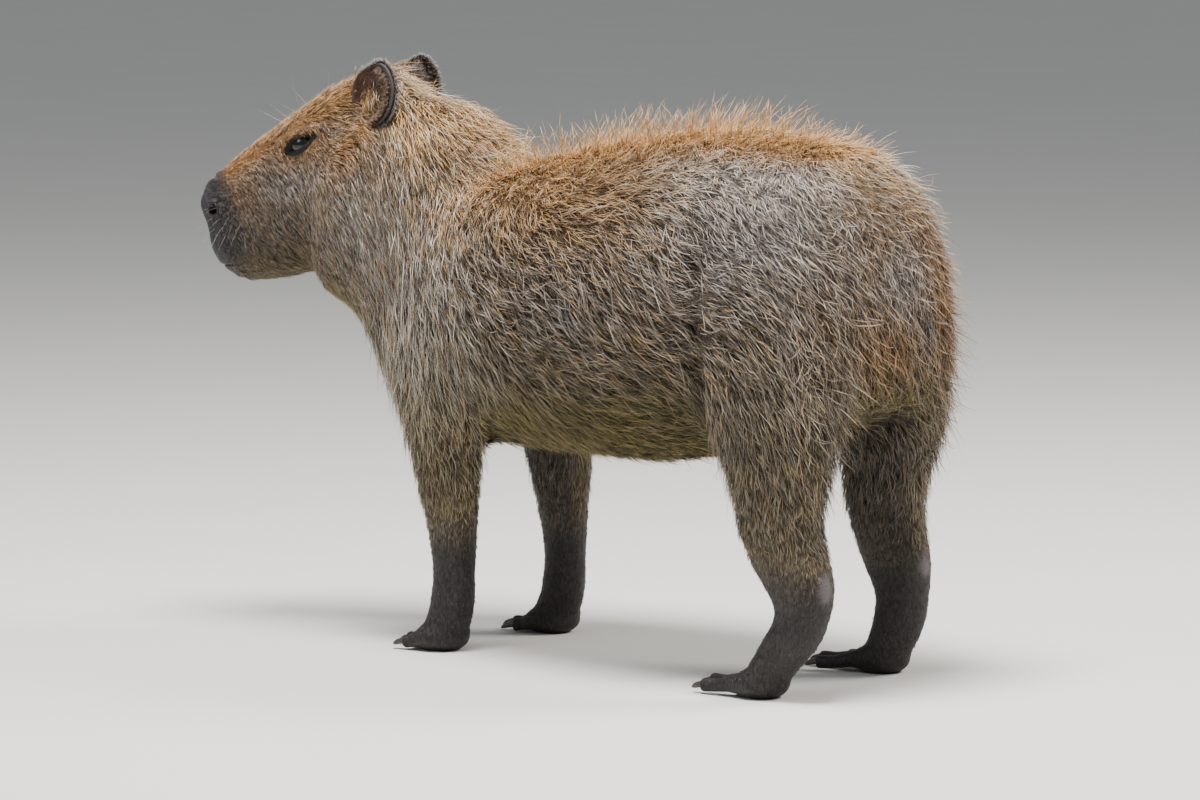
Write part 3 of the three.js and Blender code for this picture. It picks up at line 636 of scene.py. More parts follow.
def shape_eye(local, side):
    """Presses in the opening and the folds round it. Also gives how dark each place is."""
    forward, upward, outward = eye_frame(side)
    offset = local - side_of(EYE_CENTRE, side)
    f, u, w = offset @ forward, offset @ upward, offset @ outward
    top, bottom = slit_heights(f)
    near = (w > 0) & (np.linalg.norm(offset, axis=1) < 42)
    along = smooth(26 - np.abs(f), 0, 10)
    edges = {"top": top, "bottom": bottom}
    push = sum(out * bump(u - edges[edge] - rise, width) * along for edge, rise, width, out in LID_FOLDS)
    moved = local + outward * (push * near)[:, None]
    opening = near & (u < top) & (u > bottom) & (np.abs(f) < SLIT_HALF)
    behind = side_of(EYE_CENTRE, side) + unit(offset) * (EYE_RADIUS - 1.6)
    moved[opening] = behind[opening]
    rim = np.where(np.abs(f) < SLIT_HALF, np.maximum(u - top, bottom - u), 9)
    over = np.abs(f) - SLIT_HALF
    edge = np.minimum(np.maximum(rim, 0), np.hypot(over, u + SLIT_TILT * f))
    line = -SLIT_TILT * f - np.where(f > 0, 0.28, -0.1) * np.maximum(over, 0)
    run = np.where(f > 0, CORNER_FRONT, CORNER_REAR)
    taper = 4.4 * (1 - over / run) - np.abs(u - line)
    corner = smooth(taper, -0.7, 0.7) * ((over > -5) & (over < run))
    dark = np.maximum(1 - smooth(edge, 2.8, 4.4), corner) * near
    return moved, np.where(near, edge, 99.0), dark


# %% Nostrils, mouth and cleft
MOUTH_ROWS = ((-134, -55), (-104, -60), (-74, -68))
CLEFT_TOP = -10.0


def shape_nostril(local, side):
    """Presses in a nostril: a round hole, the slit that runs up behind it, and the wing's fold."""
    outward = unit(np.array((-0.45, side, 0.0)))
    forward = unit(np.cross(UP, outward)) * side
    offset = local - side_of(NOSTRIL, side)
    f, u = offset @ forward, offset[:, 2]
    near = np.linalg.norm(offset, axis=1) < 26
    hole = np.hypot((f + 0.15 * u) / 5.4, u / 5.0)
    slit = np.hypot((f + 7.0 + 0.3 * (u - 5)) / 5.5, (u - 6.0) / 1.8)
    ring = np.hypot(f, u - 1)
    rear = smooth(-f, -6, 4) * smooth(u, -10, 0)
    push = -9.0 * (1 - smooth(hole, 0.5, 1.1)) - 2.4 * (1 - smooth(slit, 0.5, 1.2))
    push += 1.8 * bump(ring - 9.0, 2.2) * rear - 1.5 * bump(ring - 14.0, 1.6) * rear
    # the hole and the slit are darkened: painted shade inside the nostril
    dark = np.maximum(1 - smooth(hole, 0.8, 1.15), 0.6 * (1 - smooth(slit, 0.6, 1.1))) * near
    return local + outward * (push * near)[:, None], dark


def shape_mouth(local):
    """Presses in the line of the mouth and the cleft of the lip."""
    line = np.interp(local[:, 0], *zip(*MOUTH_ROWS))
    drop = local[:, 2] - line
    along = smooth(-local[:, 0], -MOUTH_CORNER - 5, -MOUTH_CORNER + 1)
    seam = -1.6 * bump(drop, 1.1) + 0.7 * bump(drop - 5, 3.4) + 0.6 * bump(drop + 5, 3.0)
    lip = smooth(-local[:, 0], 82, 98) * smooth(local[:, 2], -58, -50)
    lip = lip * (1 - smooth(local[:, 2], -20, CLEFT_TOP))
    cleft = -2.4 * bump(local[:, 1], 1.5) * lip
    out = unit(np.stack([local[:, 0] + 70, local[:, 1] * 1.2, np.zeros(len(local))], -1))
    return local + out * (seam * along + cleft)[:, None], along * bump(drop, 1.2)


BRIDGE_DROP = ((-112, -95, -75, -50, -10, 20, 60, 100, 130), (0, 3.5, 6, 7.5, 7.5, 6, 4.5, 3, 0))


def shape_bridge(local, crown):
    """Lowers the bridge of the nose and the forehead, where the short hair adds its own height."""
    drop = np.interp(local[:, 0], *BRIDGE_DROP)
    return local - UP * (drop * smooth(crown, 0.05, 0.7))[:, None]


# %% Press them in
local = to_head(places)
eye_edge = np.full(len(local), 99.0)
eye_dark = np.zeros(len(local))
painted_nostril_shade = np.zeros(len(local))
for side in HANDS:
    local, edge, dark = shape_eye(local, side)
    eye_edge = np.minimum(eye_edge, edge)
    eye_dark = np.maximum(eye_dark, dark)
    local, dark = shape_nostril(local, side)
    painted_nostril_shade = np.maximum(painted_nostril_shade, dark)
local, mouth_dark = shape_mouth(local)
local = shape_bridge(local, crown_share(facing(places)))
shaped = from_head(local)
in_head = (head_share(places) > 0.5)[:, None]
places = np.where(in_head, shaped, places)

# %% The fold before the thigh, and the finished skin
FOLD_X, FOLD_WIDTH, FOLD_DEPTH = 246.0, 11.0, 10.0
SOLE = 0.4  # how far over the floor the skin ends
fold = bump(places[:, 0] - FOLD_X, FOLD_WIDTH) * smooth(places[:, 2], 205, 250)
fold *= (1 - smooth(places[:, 2], 420, 490)) * (np.abs(places[:, 1]) > 60)
places = places - facing(places) * (FOLD_DEPTH * fold)[:, None]
places[:, 2] = np.maximum(places[:, 2], SOLE)
skin_mesh.vertices.foreach_set("co", to_frame(places).astype(np.float32).ravel())
skin_mesh.shade_smooth()
skin_mesh.update()


def new_object(name, data):
    """Puts a mesh, lamp or camera into the scene."""
    thing = bpy.data.objects.new(name, data)
    bpy.context.scene.collection.objects.link(thing)
    return thing


skin = new_object("skin", skin_mesh)
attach(skin, "root")
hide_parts("torso", "neck", "head", "thigh_left", "thigh_right", "shank_left",
            "shank_right", "foreleg_left", "foreleg_right", "hindfoot_left", "hindfoot_right",
            "forefoot_left", "forefoot_right")
print("skin faces:", len(skin_mesh.polygons))

# %% [markdown]
# ## Markings
#
# The coat is agouti: each bristle is dark at its root and pale at its tip. Its tint changes over
# the body. The crown, brows, ridge of the back and seat are rusty, with gold hairs strewn along
# the back; the rusty rim where the seat faces back is a painted glow of the light from behind. The
# neck and shoulders have cream tips, the belly and chin olive, and the muzzle and legs darken to
# slate. Two worn spots show, on the flank and beside the tail. Painted sunlight pales the tips on
# the upper side, the nape and the croup, and gives the hips a grey sheen; painted shade darkens
# the crease before the thigh and the inner sides of the legs. The chin's tips are paler too. We
# work these out once, as smooth shares, and store them on skin and coat, so that both agree.

# %% Worn spots, the nape with its painted sunlight, and the end of the head
FLANK_SCAR, SCAR_REACH = (70, 385), 24  # how far back and how high it lies, and how far it reaches


def worn_spots(points):
    """How worn a place is: by the scars on flank and beside the tail, and on the seat."""
    x, y, z = points.T
    rear = smooth(x, 350, 385)
    along, above = x - FLANK_SCAR[0], z - FLANK_SCAR[1]
    flank_scar = np.exp(-(along**2 + 3 * (above + 0.3 * along) ** 2) / SCAR_REACH**2)
    rear_scar = bump(y - 48, 10) * bump(z - 378, 18) * rear
    seat_patch = 0.85 * bump(y + 16, 48) * bump(z - 358, 44) * rear
    return {"flank": 0.6 * flank_scar * (y < 0), "tail": rear_scar, "seat": seat_patch}


# The upward-facing nape, where the coat is painted paler and warmer: painted sunlight.
def sunlit_nape_share(points, normals):
    return bump(points[:, 0] + 185, 80) * smooth(normals[:, 2], 0.15, 0.7)


def before_neck(local):
    return 1 - smooth(local[:, 0], 125, 165)


# %% Rust on crown, brows, ridge and seat, and painted backlight on the seat's rear edge
def rust_share(points, normals):
    x, y, z = points.T
    local, crown = to_head(points), crown_share(normals)
    spots = worn_spots(points)
    ridge = smooth(normals[:, 2], 0.78, 0.97) * smooth(x, -230, -110) * 0.85
    # rusty tips where the seat faces back, most on the far side: a painted glow of the light from behind
    backlit_seat_edge = smooth(normals[:, 0], 0.35, 0.8) * smooth(z, 280, 380)
    backlit_seat_edge *= 0.1 + 0.55 * smooth(y, 0, 80)
    brow = smooth(crown, 0.1, 0.7) * smooth(local[:, 0], -95, -60) * before_neck(local)
    around_eye = bump(local[:, 0] - 34, 40) * bump(local[:, 2] - 36, 26) * 0.9
    snout = bump(local[:, 0] + 50, 26) * smooth(local[:, 2], -40, 10) * 0.45
    face = np.maximum.reduce([brow, around_eye, snout]) * head_share(points)
    saddle = 0.45 * smooth(z, 415, 510) * (1 - smooth(x, 90, 230)) * smooth(x, -170, -90)
    # warmer tips on the upward-facing nape: painted sunlight
    nape = 0.35 * sunlit_nape_share(points, normals)
    rust = np.maximum.reduce([ridge, backlit_seat_edge, spots["seat"], face, saddle, nape])
    return rust * (1 - spots["tail"])


# %% Cream on neck, shoulders and cheeks, and painted sunlight on the croup and nape
def cream_share(points, normals, rust):
    x, z = points[:, 0], points[:, 2]
    local, on_head = to_head(points), head_share(points)
    shoulder = (1 - smooth(x, -170, 0)) * smooth(z, 190, 300) * (1 - on_head)
    cheek = 1 - smooth(crown_share(normals), 0.3, 0.8) * before_neck(local)
    cheek = smooth(local[:, 0], 0, 90) * cheek * on_head * 0.6
    # cream tips where croup and nape face up: painted sunlight
    sunlit_croup = smooth(normals[:, 2], 0.3, 0.85) * bump(x - 290, 110) * 0.6
    nape = 0.8 * sunlit_nape_share(points, normals)
    return np.maximum.reduce([shoulder, cheek, sunlit_croup, nape]) * (1 - 0.7 * rust)


# %% Slate on muzzle and shins and where the coat is worn, and painted shade in the crease and inside the legs
def slate_share(points, normals):
    x, y, z = points.T
    local, crown, on_head = to_head(points), crown_share(normals), head_share(points)
    from_nose = local[:, 0] - 0.45 * np.abs(local[:, 1])
    under_lip = smooth(-local[:, 2], 44, 70)
    muzzle = (1 - smooth(from_nose, -98, -70)) * (1 - 0.6 * under_lip)
    snout_side = 0.35 * (1 - smooth(from_nose, -50, 0)) * (1 - smooth(crown, 0.1, 0.6))
    forehead = 0.2 * smooth(crown, 0.1, 0.6) * (1 - smooth(local[:, 0], 90, 140))
    face = np.maximum.reduce([muzzle, snout_side, forehead]) * on_head
    shins = 1 - smooth(z, 95, 165)
    # the sides of the legs that face each other are darkened: painted shade
    shaded_inner_leg = smooth(-normals[:, 1] * np.sign(y), 0.1, 0.7) * (1 - smooth(z, 240, 330)) * 0.7
    thigh = 0.22 * (1 - smooth(z, 260, 400)) * smooth(x, 150, 260)
    # a dark band along the fold before the thigh: painted shade in the crease
    crease = 0.45 * bump(x - FOLD_X + 4, 13) * smooth(z, 215, 260) * (1 - smooth(z, 440, 520))
    spots = worn_spots(points)
    worn = np.maximum.reduce([spots["flank"], 0.45 * spots["tail"], 0.3 * spots["seat"]])
    return np.maximum.reduce([face, shins, shaded_inner_leg * (1 - on_head), thigh, crease, worn])


# %% Olive on chin, belly and seat
def olive_share(points, normals, slate):
    x, y, z = points.T
    local, on_head = to_head(points), head_share(points)
    chin = smooth(-crown_share(normals), 0.0, 0.6) * on_head * smooth(local[:, 0], -100, -70)
    belly = smooth(-normals[:, 2], 0.15, 0.7) * (1 - on_head)
    seat = smooth(x, 320, 385) * (1 - smooth(z, 285, 340)) * smooth(z, 190, 240)
    seat *= 1 - smooth(np.abs(y), 70, 115)
    low_flank = (1 - smooth(z, 230, 430)) * 0.5 * (1 - on_head)
    return np.maximum.reduce([chin, belly, seat, low_flank]) * (1 - slate), chin


# %% Grey on rump and scars, and a painted sunlit sheen on the hips
def grey_share(points, rust):
    x, y, z = points.T
    local = to_head(points)
    spots = worn_spots(points)
    # pale grey tips high on the hips: a painted sheen of sunlight
    sunlit_hip = bump(x - 310, 130) * smooth(z, 360, 480) * smooth(np.abs(y), 20, 70)
    rump = 0.6 * bump(y - 8, 44) * bump(z - 428, 40) * smooth(x, 350, 385)
    under_eye = bump(local[:, 0] - 2, 30) * bump(local[:, 2] - 2, 16) * 0.5 * head_share(points)
    scars = 0.8 * np.maximum(spots["flank"], spots["tail"])
    return np.maximum.reduce([sunlit_hip * 0.6 * (1 - rust), scars, rump, under_eye])


# %% All the markings
def markings(points, normals):
    """How much of each tint a place has, from 0 to 1, and how pale its tips are: painted sunlight above,
    and a paler chin.
    """
    on_head, nape = head_share(points), sunlit_nape_share(points, normals)
    on_body = 1 - on_head
    rust = rust_share(points, normals)
    slate = slate_share(points, normals)
    olive, chin = olive_share(points, normals, slate)
    # Gold and paler tips on the upward-facing nape, and paler tips where the body faces up, are painted
    # sunlight; the chin's tips are paler in their own colour.
    gold = (0.18 + 0.32 * smooth(points[:, 2], 380, 540)) * on_body + 0.2 * on_head + 0.2 * nape
    painted_sun_and_pale_chin = smooth(normals[:, 2], 0.3, 0.9) * on_body + 0.6 * nape + 0.5 * chin
    return {"rust": rust, "cream": cream_share(points, normals, rust), "gold": gold,
            "slate": slate, "olive": olive, "grey": grey_share(points, rust),
            "painted_sun_and_pale_chin": np.minimum(painted_sun_and_pale_chin, 1)}


def store(mesh, name, values):
    layer = mesh.attributes.new(name, "FLOAT", "POINT")
    layer.data.foreach_set("value", np.asarray(values, np.float32))


# %% Store the shares on the skin
for name, values in markings(places, facing(places)).items():
    store(skin_mesh, name, values)
    print(name, "covers", round(float(values.mean()), 2))
HEELS = np.array(((407, -112, 118), (364, 104, 119)))  # worn, bare spots behind the hocks
HEEL_REACH = np.array((12, 10, 17))
nose_place = to_head(places)
bare_nose = 1 - smooth(nose_place[:, 0] - 0.2 * np.abs(nose_place[:, 1]), -104, -92)
heel_spots = [np.exp(-np.sum(((places - heel) / HEEL_REACH) ** 2, axis=1)) for heel in HEELS]
callus = smooth(np.maximum.reduce(heel_spots), 0.2, 0.75)
store(skin_mesh, "bare", np.maximum.reduce([bare_nose, eye_dark, painted_nostril_shade, callus]))
store(skin_mesh, "callus", callus)
# near black on the lid rims and the mouth line, and painted shade in the nostrils
store(skin_mesh, "dark", np.maximum.reduce([eye_dark, painted_nostril_shade, mouth_dark * 0.5]))

# %% [markdown]
# ## Fur and skin materials
#
# Hair is keratin: IOR 1.55, satin, with a soft highlight along each bristle. One function reads
# the shares and mixes named tints for root and tip. On a tuft the share called along runs from
# root to tip, and tone makes each tuft a little darker or paler than the next.

# %% Colours and nodes
def linear(hex_colour):
    """An sRGB hex colour as linear red, green, blue and alpha."""
    values = [int(hex_colour[i:i + 2], 16) / 255 for i in (1, 3, 5)]
    return (*[v / 12.92 if v <= 0.04045 else ((v + 0.055) / 1.055) ** 2.4 for v in values], 1)


def add(tree, kind, links=None, **settings):
    """Adds a node, sets its properties and sockets, and links sockets to other nodes' outputs."""
    node = tree.nodes.new(kind)
    for name, value in settings.items():
        setattr(node, name, value)
    for socket, value in (links or {}).items():
        if isinstance(value, bpy.types.NodeSocket):
            tree.links.new(value, node.inputs[socket])
        else:
            node.inputs[socket].default_value = value
    return node


def new_material(name):
    material = bpy.data.materials.new(name)
    material.use_nodes = True
    return material, material.node_tree, material.node_tree.nodes["Principled BSDF"]


# %% Helpers that every material uses
def share_of(tree, name):
    return add(tree, "ShaderNodeAttribute", attribute_name=name).outputs["Fac"]


def object_place(tree):
    return add(tree, "ShaderNodeTexCoord").outputs["Object"]


def noise(tree, place, size, detail=2.0):
    """Noise with patches about size millimetres across."""
    links = {"Vector": place, "Scale": 1000 / size, "Detail": detail}
    return add(tree, "ShaderNodeTexNoise", links).outputs["Fac"]


def mixed(tree, share, first, second):
    """The first colour where the share is 0, and the second where it is 1."""
    first, second = (linear(c) if isinstance(c, str) else c for c in (first, second))
    links = {"Factor": share, "A": first, "B": second}
    return add(tree, "ShaderNodeMix", links, data_type="RGBA").outputs["Result"]


def relief(tree, shader, height, strength, depth):
    """Makes light fall on the surface as if the pattern stood up by the depth, in metres."""
    links = {"Height": height, "Strength": strength, "Distance": depth}
    node = add(tree, "ShaderNodeBump", links)
    tree.links.new(node.outputs["Normal"], shader.inputs["Normal"])


def surface(tree, shader, colour, roughness, ior, **more):
    """Sets the surface. Other sockets are given with _ for each space in their names."""
    tree.links.new(colour, shader.inputs["Base Color"])
    shader.inputs["Roughness"].default_value = roughness
    shader.inputs["IOR"].default_value = ior
    for socket, value in more.items():
        shader.inputs[socket.replace("_", " ")].default_value = value


# %% The tints of the coat, at root and tip
TINTS = {
    "flank": ("#27211c", "#b3a496"),
    "rust": ("#5a3719", "#d69c58"),
    "cream": ("#41372f", "#f0e7db"),
    "gold": ("#463019", "#d8aa68"),
    "olive": ("#322b14", "#9c8c52"),
    "grey": ("#4d4845", "#dedad6"),
    "slate": ("#191616", "#544e4b"),
}
TINT_ORDER = ("cream", "rust", "gold", "olive", "grey", "slate")  # each is laid over the last
CLOUD = 45  # mm across, the size of the patches where the coat is a little darker or paler


def tinted(tree, end):
    """The coat's colour at the root (end 0) or at the tip (end 1), mixed by the markings."""
    colour = linear(TINTS["flank"][end])
    for name in TINT_ORDER:
        colour = mixed(tree, share_of(tree, name), colour, TINTS[name][end])
    return colour


def clouded(tree, colour):
    """Darkens and lightens a colour in slow patches, as wear and damp do."""
    cloud = noise(tree, object_place(tree), CLOUD, 3.0)
    value = add(tree, "ShaderNodeMapRange", {"Value": cloud, "From Min": 0.3, "From Max": 0.7,
                                             "To Min": 0.78, "To Max": 1.18})
    shade = add(tree, "ShaderNodeHueSaturation", {"Color": colour, "Value": value.outputs["Result"]})
    return shade.outputs[0]


# %% The material of the tufts
SUN_AND_CHIN_PALING = 0.4  # how far painted sunlight and the paler chin move the pale tip down the bristle
PALE_FROM, PALE_TO = 0.58, 1.76  # along, tone and that paling added up, from all root to all tip


def bristle_material(name):
    material, tree, shader = new_material(name)
    along, tone = share_of(tree, "along"), share_of(tree, "tone")
    # paler tips: painted sunlight on the upper side and nape, and the paler chin
    painted_sun_and_pale_chin = share_of(tree, "painted_sun_and_pale_chin")
    reach = add(tree, "ShaderNodeMath", {0: painted_sun_and_pale_chin, 1: SUN_AND_CHIN_PALING, 2: tone},
                operation="MULTIPLY_ADD")
    paler = add(tree, "ShaderNodeMath", {0: along, 1: reach.outputs[0]}, operation="ADD")
    rise = add(tree, "ShaderNodeMapRange", {"Value": paler.outputs[0], "From Min": PALE_FROM,
                                            "From Max": PALE_TO}, interpolation_type="SMOOTHSTEP")
    bristle = mixed(tree, rise.outputs["Result"], tinted(tree, 0), tinted(tree, 1))
    surface(tree, shader, clouded(tree, bristle), 0.42, 1.55)
    return material


# %% The material of the skin under the coat
FUR_GRAIN, PORE = 2.2, 1.6  # mm between short hairs, and between the pores of bare skin
# PIT is the near black of the lid rims and the mouth line, and the painted shade in the nostrils
BARE_SKIN, CALLUS, PIT = "#2c292d", "#565052", "#0e0c0c"


def hide_material(name):
    material, tree, shader = new_material(name)
    place = object_place(tree)
    stretch = add(tree, "ShaderNodeMapping", {"Vector": place, "Scale": (1.0, 1.0, 0.35)})
    grain = noise(tree, stretch.outputs[0], FUR_GRAIN, 3.0)
    streak = add(tree, "ShaderNodeMapRange", {"Value": grain, "From Min": 0.42, "From Max": 0.68})
    root, tip, bare = tinted(tree, 0), tinted(tree, 1), share_of(tree, "bare")
    fur = mixed(tree, 0.3, root, mixed(tree, streak.outputs["Result"], root, tip))
    colour = mixed(tree, bare, clouded(tree, fur), BARE_SKIN)
    colour = mixed(tree, share_of(tree, "callus"), colour, CALLUS)
    # lid rims and mouth line near black, and painted shade in the nostrils
    colour = mixed(tree, share_of(tree, "dark"), colour, PIT)
    surface(tree, shader, colour, 0.55, 1.45, Specular_IOR_Level=0.3)
    pores = add(tree, "ShaderNodeTexVoronoi", {"Vector": place, "Scale": 1000 / PORE})
    links = {"Factor": bare, "A": grain, "B": pores.outputs["Distance"]}
    height = add(tree, "ShaderNodeMix", links, data_type="FLOAT")
    relief(tree, shader, height.outputs["Result"], 0.5, 0.0012)
    return material


skin_mesh.materials.append(hide_material("hide_with_short_fur"))
bristles = bristle_material("agouti_bristles")
print("materials:", [m.name for m in bpy.data.materials][-2:])

# %% [markdown]
# ## Eyes
#
# An eye is a wet ball: a dark brown iris with a black pupil, which hardly shows, under a clear
# and very smooth cornea. The highlight of the lamp on it is what makes the face look alive. The
# lid's edge is a thin, dark, damp tube that lies between ball and lid.

# %% A closed tube or horn through rings of points
def ring_mesh(name, rings, closed=False):
    """Joins rings of points into a mesh in the frame, with caps at its ends unless it closes."""
    rings = np.asarray(rings)
    count, sides = rings.shape[:2]
    faces = []
    for i in range(count if closed else count - 1):
        here, there = i * sides, (i + 1) % count * sides
        for j in range(sides):
            ahead = (j + 1) % sides
            faces.append((here + j, here + ahead, there + ahead, there + j))
    if not closed:
        faces += [tuple(range(sides))[::-1], tuple((count - 1) * sides + j for j in range(sides))]
    mesh = bpy.data.meshes.new(name)
    mesh.from_pydata(to_frame(rings.reshape(-1, 3)).tolist(), [], faces)
    mesh.update()
    mesh.shade_smooth()
    return mesh


def show(name, mesh, slot, *replaced):
    """Puts a mesh into the scene on the animal's body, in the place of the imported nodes."""
    piece = new_object(name, mesh)
    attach(piece, "root")
    if replaced:
        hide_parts(*replaced)


def circles(one, other, sides):
    """A circle of points in the plane of each pair of directions."""
    turns = np.arange(sides) * 2 * math.pi / sides
    return np.cos(turns)[None, :, None] * one[:, None] + np.sin(turns)[None, :, None] * other[:, None]


def tube_rings(path, radii, sides):
    """Rings round a path, with the radius given at each of its points."""
    along = unit(np.gradient(path, axis=0))
    side = unit(np.cross(along, unit(UP + (0.3, 0.2, 0))))
    return path[:, None] + circles(side, np.cross(along, side), sides) * radii[:, None, None]


# %% Eye materials
def eye_material():
    material, tree, shader = new_material("wet_brown_eye")
    ramp = add(tree, "ShaderNodeValToRGB", {"Fac": share_of(tree, "off_axis")})
    stops = ramp.color_ramp.elements
    stops[0].position, stops[0].color = 0.0, linear("#060505")
    stops[1].position, stops[1].color = 1.0, linear("#2b211c")
    for place, tint in ((0.34, "#060505"), (0.4, "#1f120b"), (0.8, "#150d09"), (0.9, "#080606")):
        stops.new(place).color = linear(tint)
    surface(tree, shader, ramp.outputs["Color"], 0.25, 1.38, Specular_IOR_Level=0.1,
            Coat_Weight=1.0, Coat_Roughness=0.05, Coat_IOR=1.46)
    return material


def damp_skin(name, colour, roughness):
    """Bare skin with pores, such as a lid's edge."""
    material, tree, shader = new_material(name)
    pores = noise(tree, object_place(tree), 1.2)
    darker = tuple(0.55 * v for v in linear(colour)[:3]) + (1,)
    surface(tree, shader, mixed(tree, pores, colour, darker), roughness, 1.45, Specular_IOR_Level=0.3)
    relief(tree, shader, pores, 0.4, 0.0006)
    return material


eye_wet = eye_material()
lid_edge = damp_skin("damp_lid_edge", "#120e0d", 0.35)

# %% Balls and lid edges
RAMP_SPAN = 75.0  # degrees from the eye's axis that the ramp of colours spans
LID_EDGE_RADIUS, LID_EDGE_RAISED = 1.25, 1.1  # the tube's, and how far it lies over the ball


def ball_rings(latitudes, outward, forward, upward):
    """Rings of an eyeball round its own axis, from the pupil back."""
    turns = np.linspace(0, 2 * math.pi, 48, endpoint=False)
    return np.array([[EYE_RADIUS * (math.cos(t) * outward + math.sin(t) * (
        math.cos(a) * forward + math.sin(a) * upward)) for a in turns] for t in latitudes])


def lid_edge_rings(outward, forward, upward):
    """Rings of the thin tube that runs round the slit, on the ball."""
    f = np.linspace(-1, 1, 22) * SLIT_HALF * 0.985
    top, bottom = slit_heights(f)
    f = np.concatenate([f, f[::-1][1:-1]])
    u = np.concatenate([top, bottom[::-1][1:-1]])
    w = np.sqrt(np.maximum((EYE_RADIUS + LID_EDGE_RAISED) ** 2 - f**2 - u**2, 4.0))
    loop = f[:, None] * forward + u[:, None] * upward + w[:, None] * outward
    along = unit(np.roll(loop, -1, 0) - np.roll(loop, 1, 0))
    away = unit(loop)
    return loop[:, None] + LID_EDGE_RADIUS * circles(away, np.cross(along, away), 8)


for side, hand in HANDS.items():
    centre = side_of(EYE_CENTRE, side)
    forward, upward, outward = eye_frame(side)
    latitudes = np.radians(np.linspace(0.5, 179.5, 40))
    rings = centre + ball_rings(latitudes, outward, forward, upward)
    mesh = ring_mesh("eyeball_" + hand, from_head(rings))
    store(mesh, "off_axis", np.repeat(np.degrees(latitudes) / RAMP_SPAN, rings.shape[1]))
    mesh.materials.append(eye_wet)
    show("eyeball_" + hand, mesh, "eye", "eye_" + hand)
    rings = centre + lid_edge_rings(outward, forward, upward)
    mesh = ring_mesh("lid_edge_" + hand, from_head(rings), closed=True)
    mesh.materials.append(lid_edge)
    show("lid_edge_" + hand, mesh, "bare_skin")
print("eyes of", 2 * EYE_RADIUS, "mm")

# %% [markdown]
# ## Ears
#
# The ear is a small cup of gristle that opens outwards. Its rear rim is broad and rolled, its
# top corner folds over, and a hollow leads in at the lower front, near black with painted shade.
# We lay the cup out in rings from the hollow to the rim, roll the rim over, and come back along
# the outside.

# %% The ear as a cup
EAR_PLACE = np.array((135.0, 64.0, 55.0))
EAR_UP, EAR_OUT = np.array((0.44, 0.24, 0.87)), np.array((-0.1, 1.0, 0.1))
EAR_HALF_WIDTH, EAR_HALF_HEIGHT, EAR_DEPTH, EAR_WALL = 28.0, 36.0, 15.0, 2.6
EAR_LIP = 0.27  # the share of the cup's reach that its broad rear rim takes


def ear_frame(side):
    """Tailward, upward and outward, at the ear on that side, in the head's own frame."""
    outward = unit(side_of(EAR_OUT, side))
    rearward = unit(np.cross(side_of(EAR_UP, side), outward)) * -side
    return rearward, np.cross(outward, rearward) * -side, outward


def ear_rings():
    """Rings from the bottom of the cup to the rim and back behind, with the shares of its tints."""
    turns = np.linspace(0, 2 * math.pi, 56, endpoint=False)  # from the top towards the rear
    rear = smooth(np.sin(turns), -0.2, 0.9)
    reach_r = EAR_HALF_WIDTH * np.where(np.sin(turns) > 0, 1.0, 0.86)
    angle = (np.degrees(turns) + 180) % 360 - 180
    fold, notch = bump(angle + 26, 24), bump(angle + 125, 26)
    rim_out = 4.5 + 4.0 * rear - 5.0 * notch
    steps = np.concatenate([[0.02], np.linspace(0.12, 0.8, 9), np.linspace(0.85, 1, 5)])
    rings, hollow_shade, rim, back = [], [], [], []
    for inside in (True, False):
        for r in steps if inside else steps[::-1]:
            shift = (1 - r) ** 1.3
            bowl = np.minimum(r / (1 - EAR_LIP * rear), 1)
            rise = rim_out * r**2.4 - EAR_DEPTH * (1 - bowl**2) ** 0.75
            rise += 2.0 * bump(r - 0.45, 0.12) * smooth(np.sin(turns), -0.1, 0.7)
            rise += 1.8 * bump(r - 0.87, 0.09) * rear
            late = max((r - 0.72) / 0.28, 0)
            rearward = reach_r * r * np.sin(turns) - 7.0 * shift
            upward = EAR_HALF_HEIGHT * r * np.cos(turns) - 15 * shift
            rearward = rearward - 1.2 * rear * late**2
            upward = upward - 9.0 * fold * late**2
            rise = rise + 4.5 * fold * math.sin(min(late, 1) * 2.0)
            thick = 0 if inside else EAR_WALL * (1 + 0.8 * rear * late) + 2.5 * (1 - r)
            swell = 0.0 if inside else 0.9 * late
            rings.append(np.stack([rearward + swell * np.sin(turns), upward + swell * np.cos(turns),
                                   rise - thick], -1))
            # the deep middle of the cup darkens: painted shade in the hollow
            hollow_shade.append(np.full(len(turns), 1 - smooth(r, 0.15, 0.6) if inside else 0.0))
            rim.append(smooth(r, 0.93 - 0.25 * rear, 1.0 - 0.15 * rear))
            back.append(np.full(len(turns), 0.0 if inside else 1 - smooth(r, 0.8, 1.0)))
    shares = {"hollow_shade": hollow_shade, "rim": rim, "back": back}
    return np.array(rings), {name: np.concatenate(rows) for name, rows in shares.items()}


# %% The ear's material and mesh
def ear_material():
    material, tree, shader = new_material("ear_skin")
    place = object_place(tree)
    colour = mixed(tree, noise(tree, place, 7, 4.0), "#2e1d18", "#684c40")
    # the hollow is near black: painted shade
    for share, tint in (("hollow_shade", "#140d0b"), ("rim", "#393030"), ("back", "#2b211c")):
        colour = mixed(tree, share_of(tree, share), colour, tint)
    surface(tree, shader, colour, 0.55, 1.45, Subsurface_Weight=0.15,
            Subsurface_Radius=(0.004, 0.0015, 0.001))
    relief(tree, shader, noise(tree, place, 2.2, 4.0), 0.7, 0.0014)
    return material


def ear_point(side, shape):
    """From (rearward, upward, outward) in the ear's own frame to the body's."""
    return from_head(side_of(EAR_PLACE, side) + shape @ np.array(ear_frame(side)))


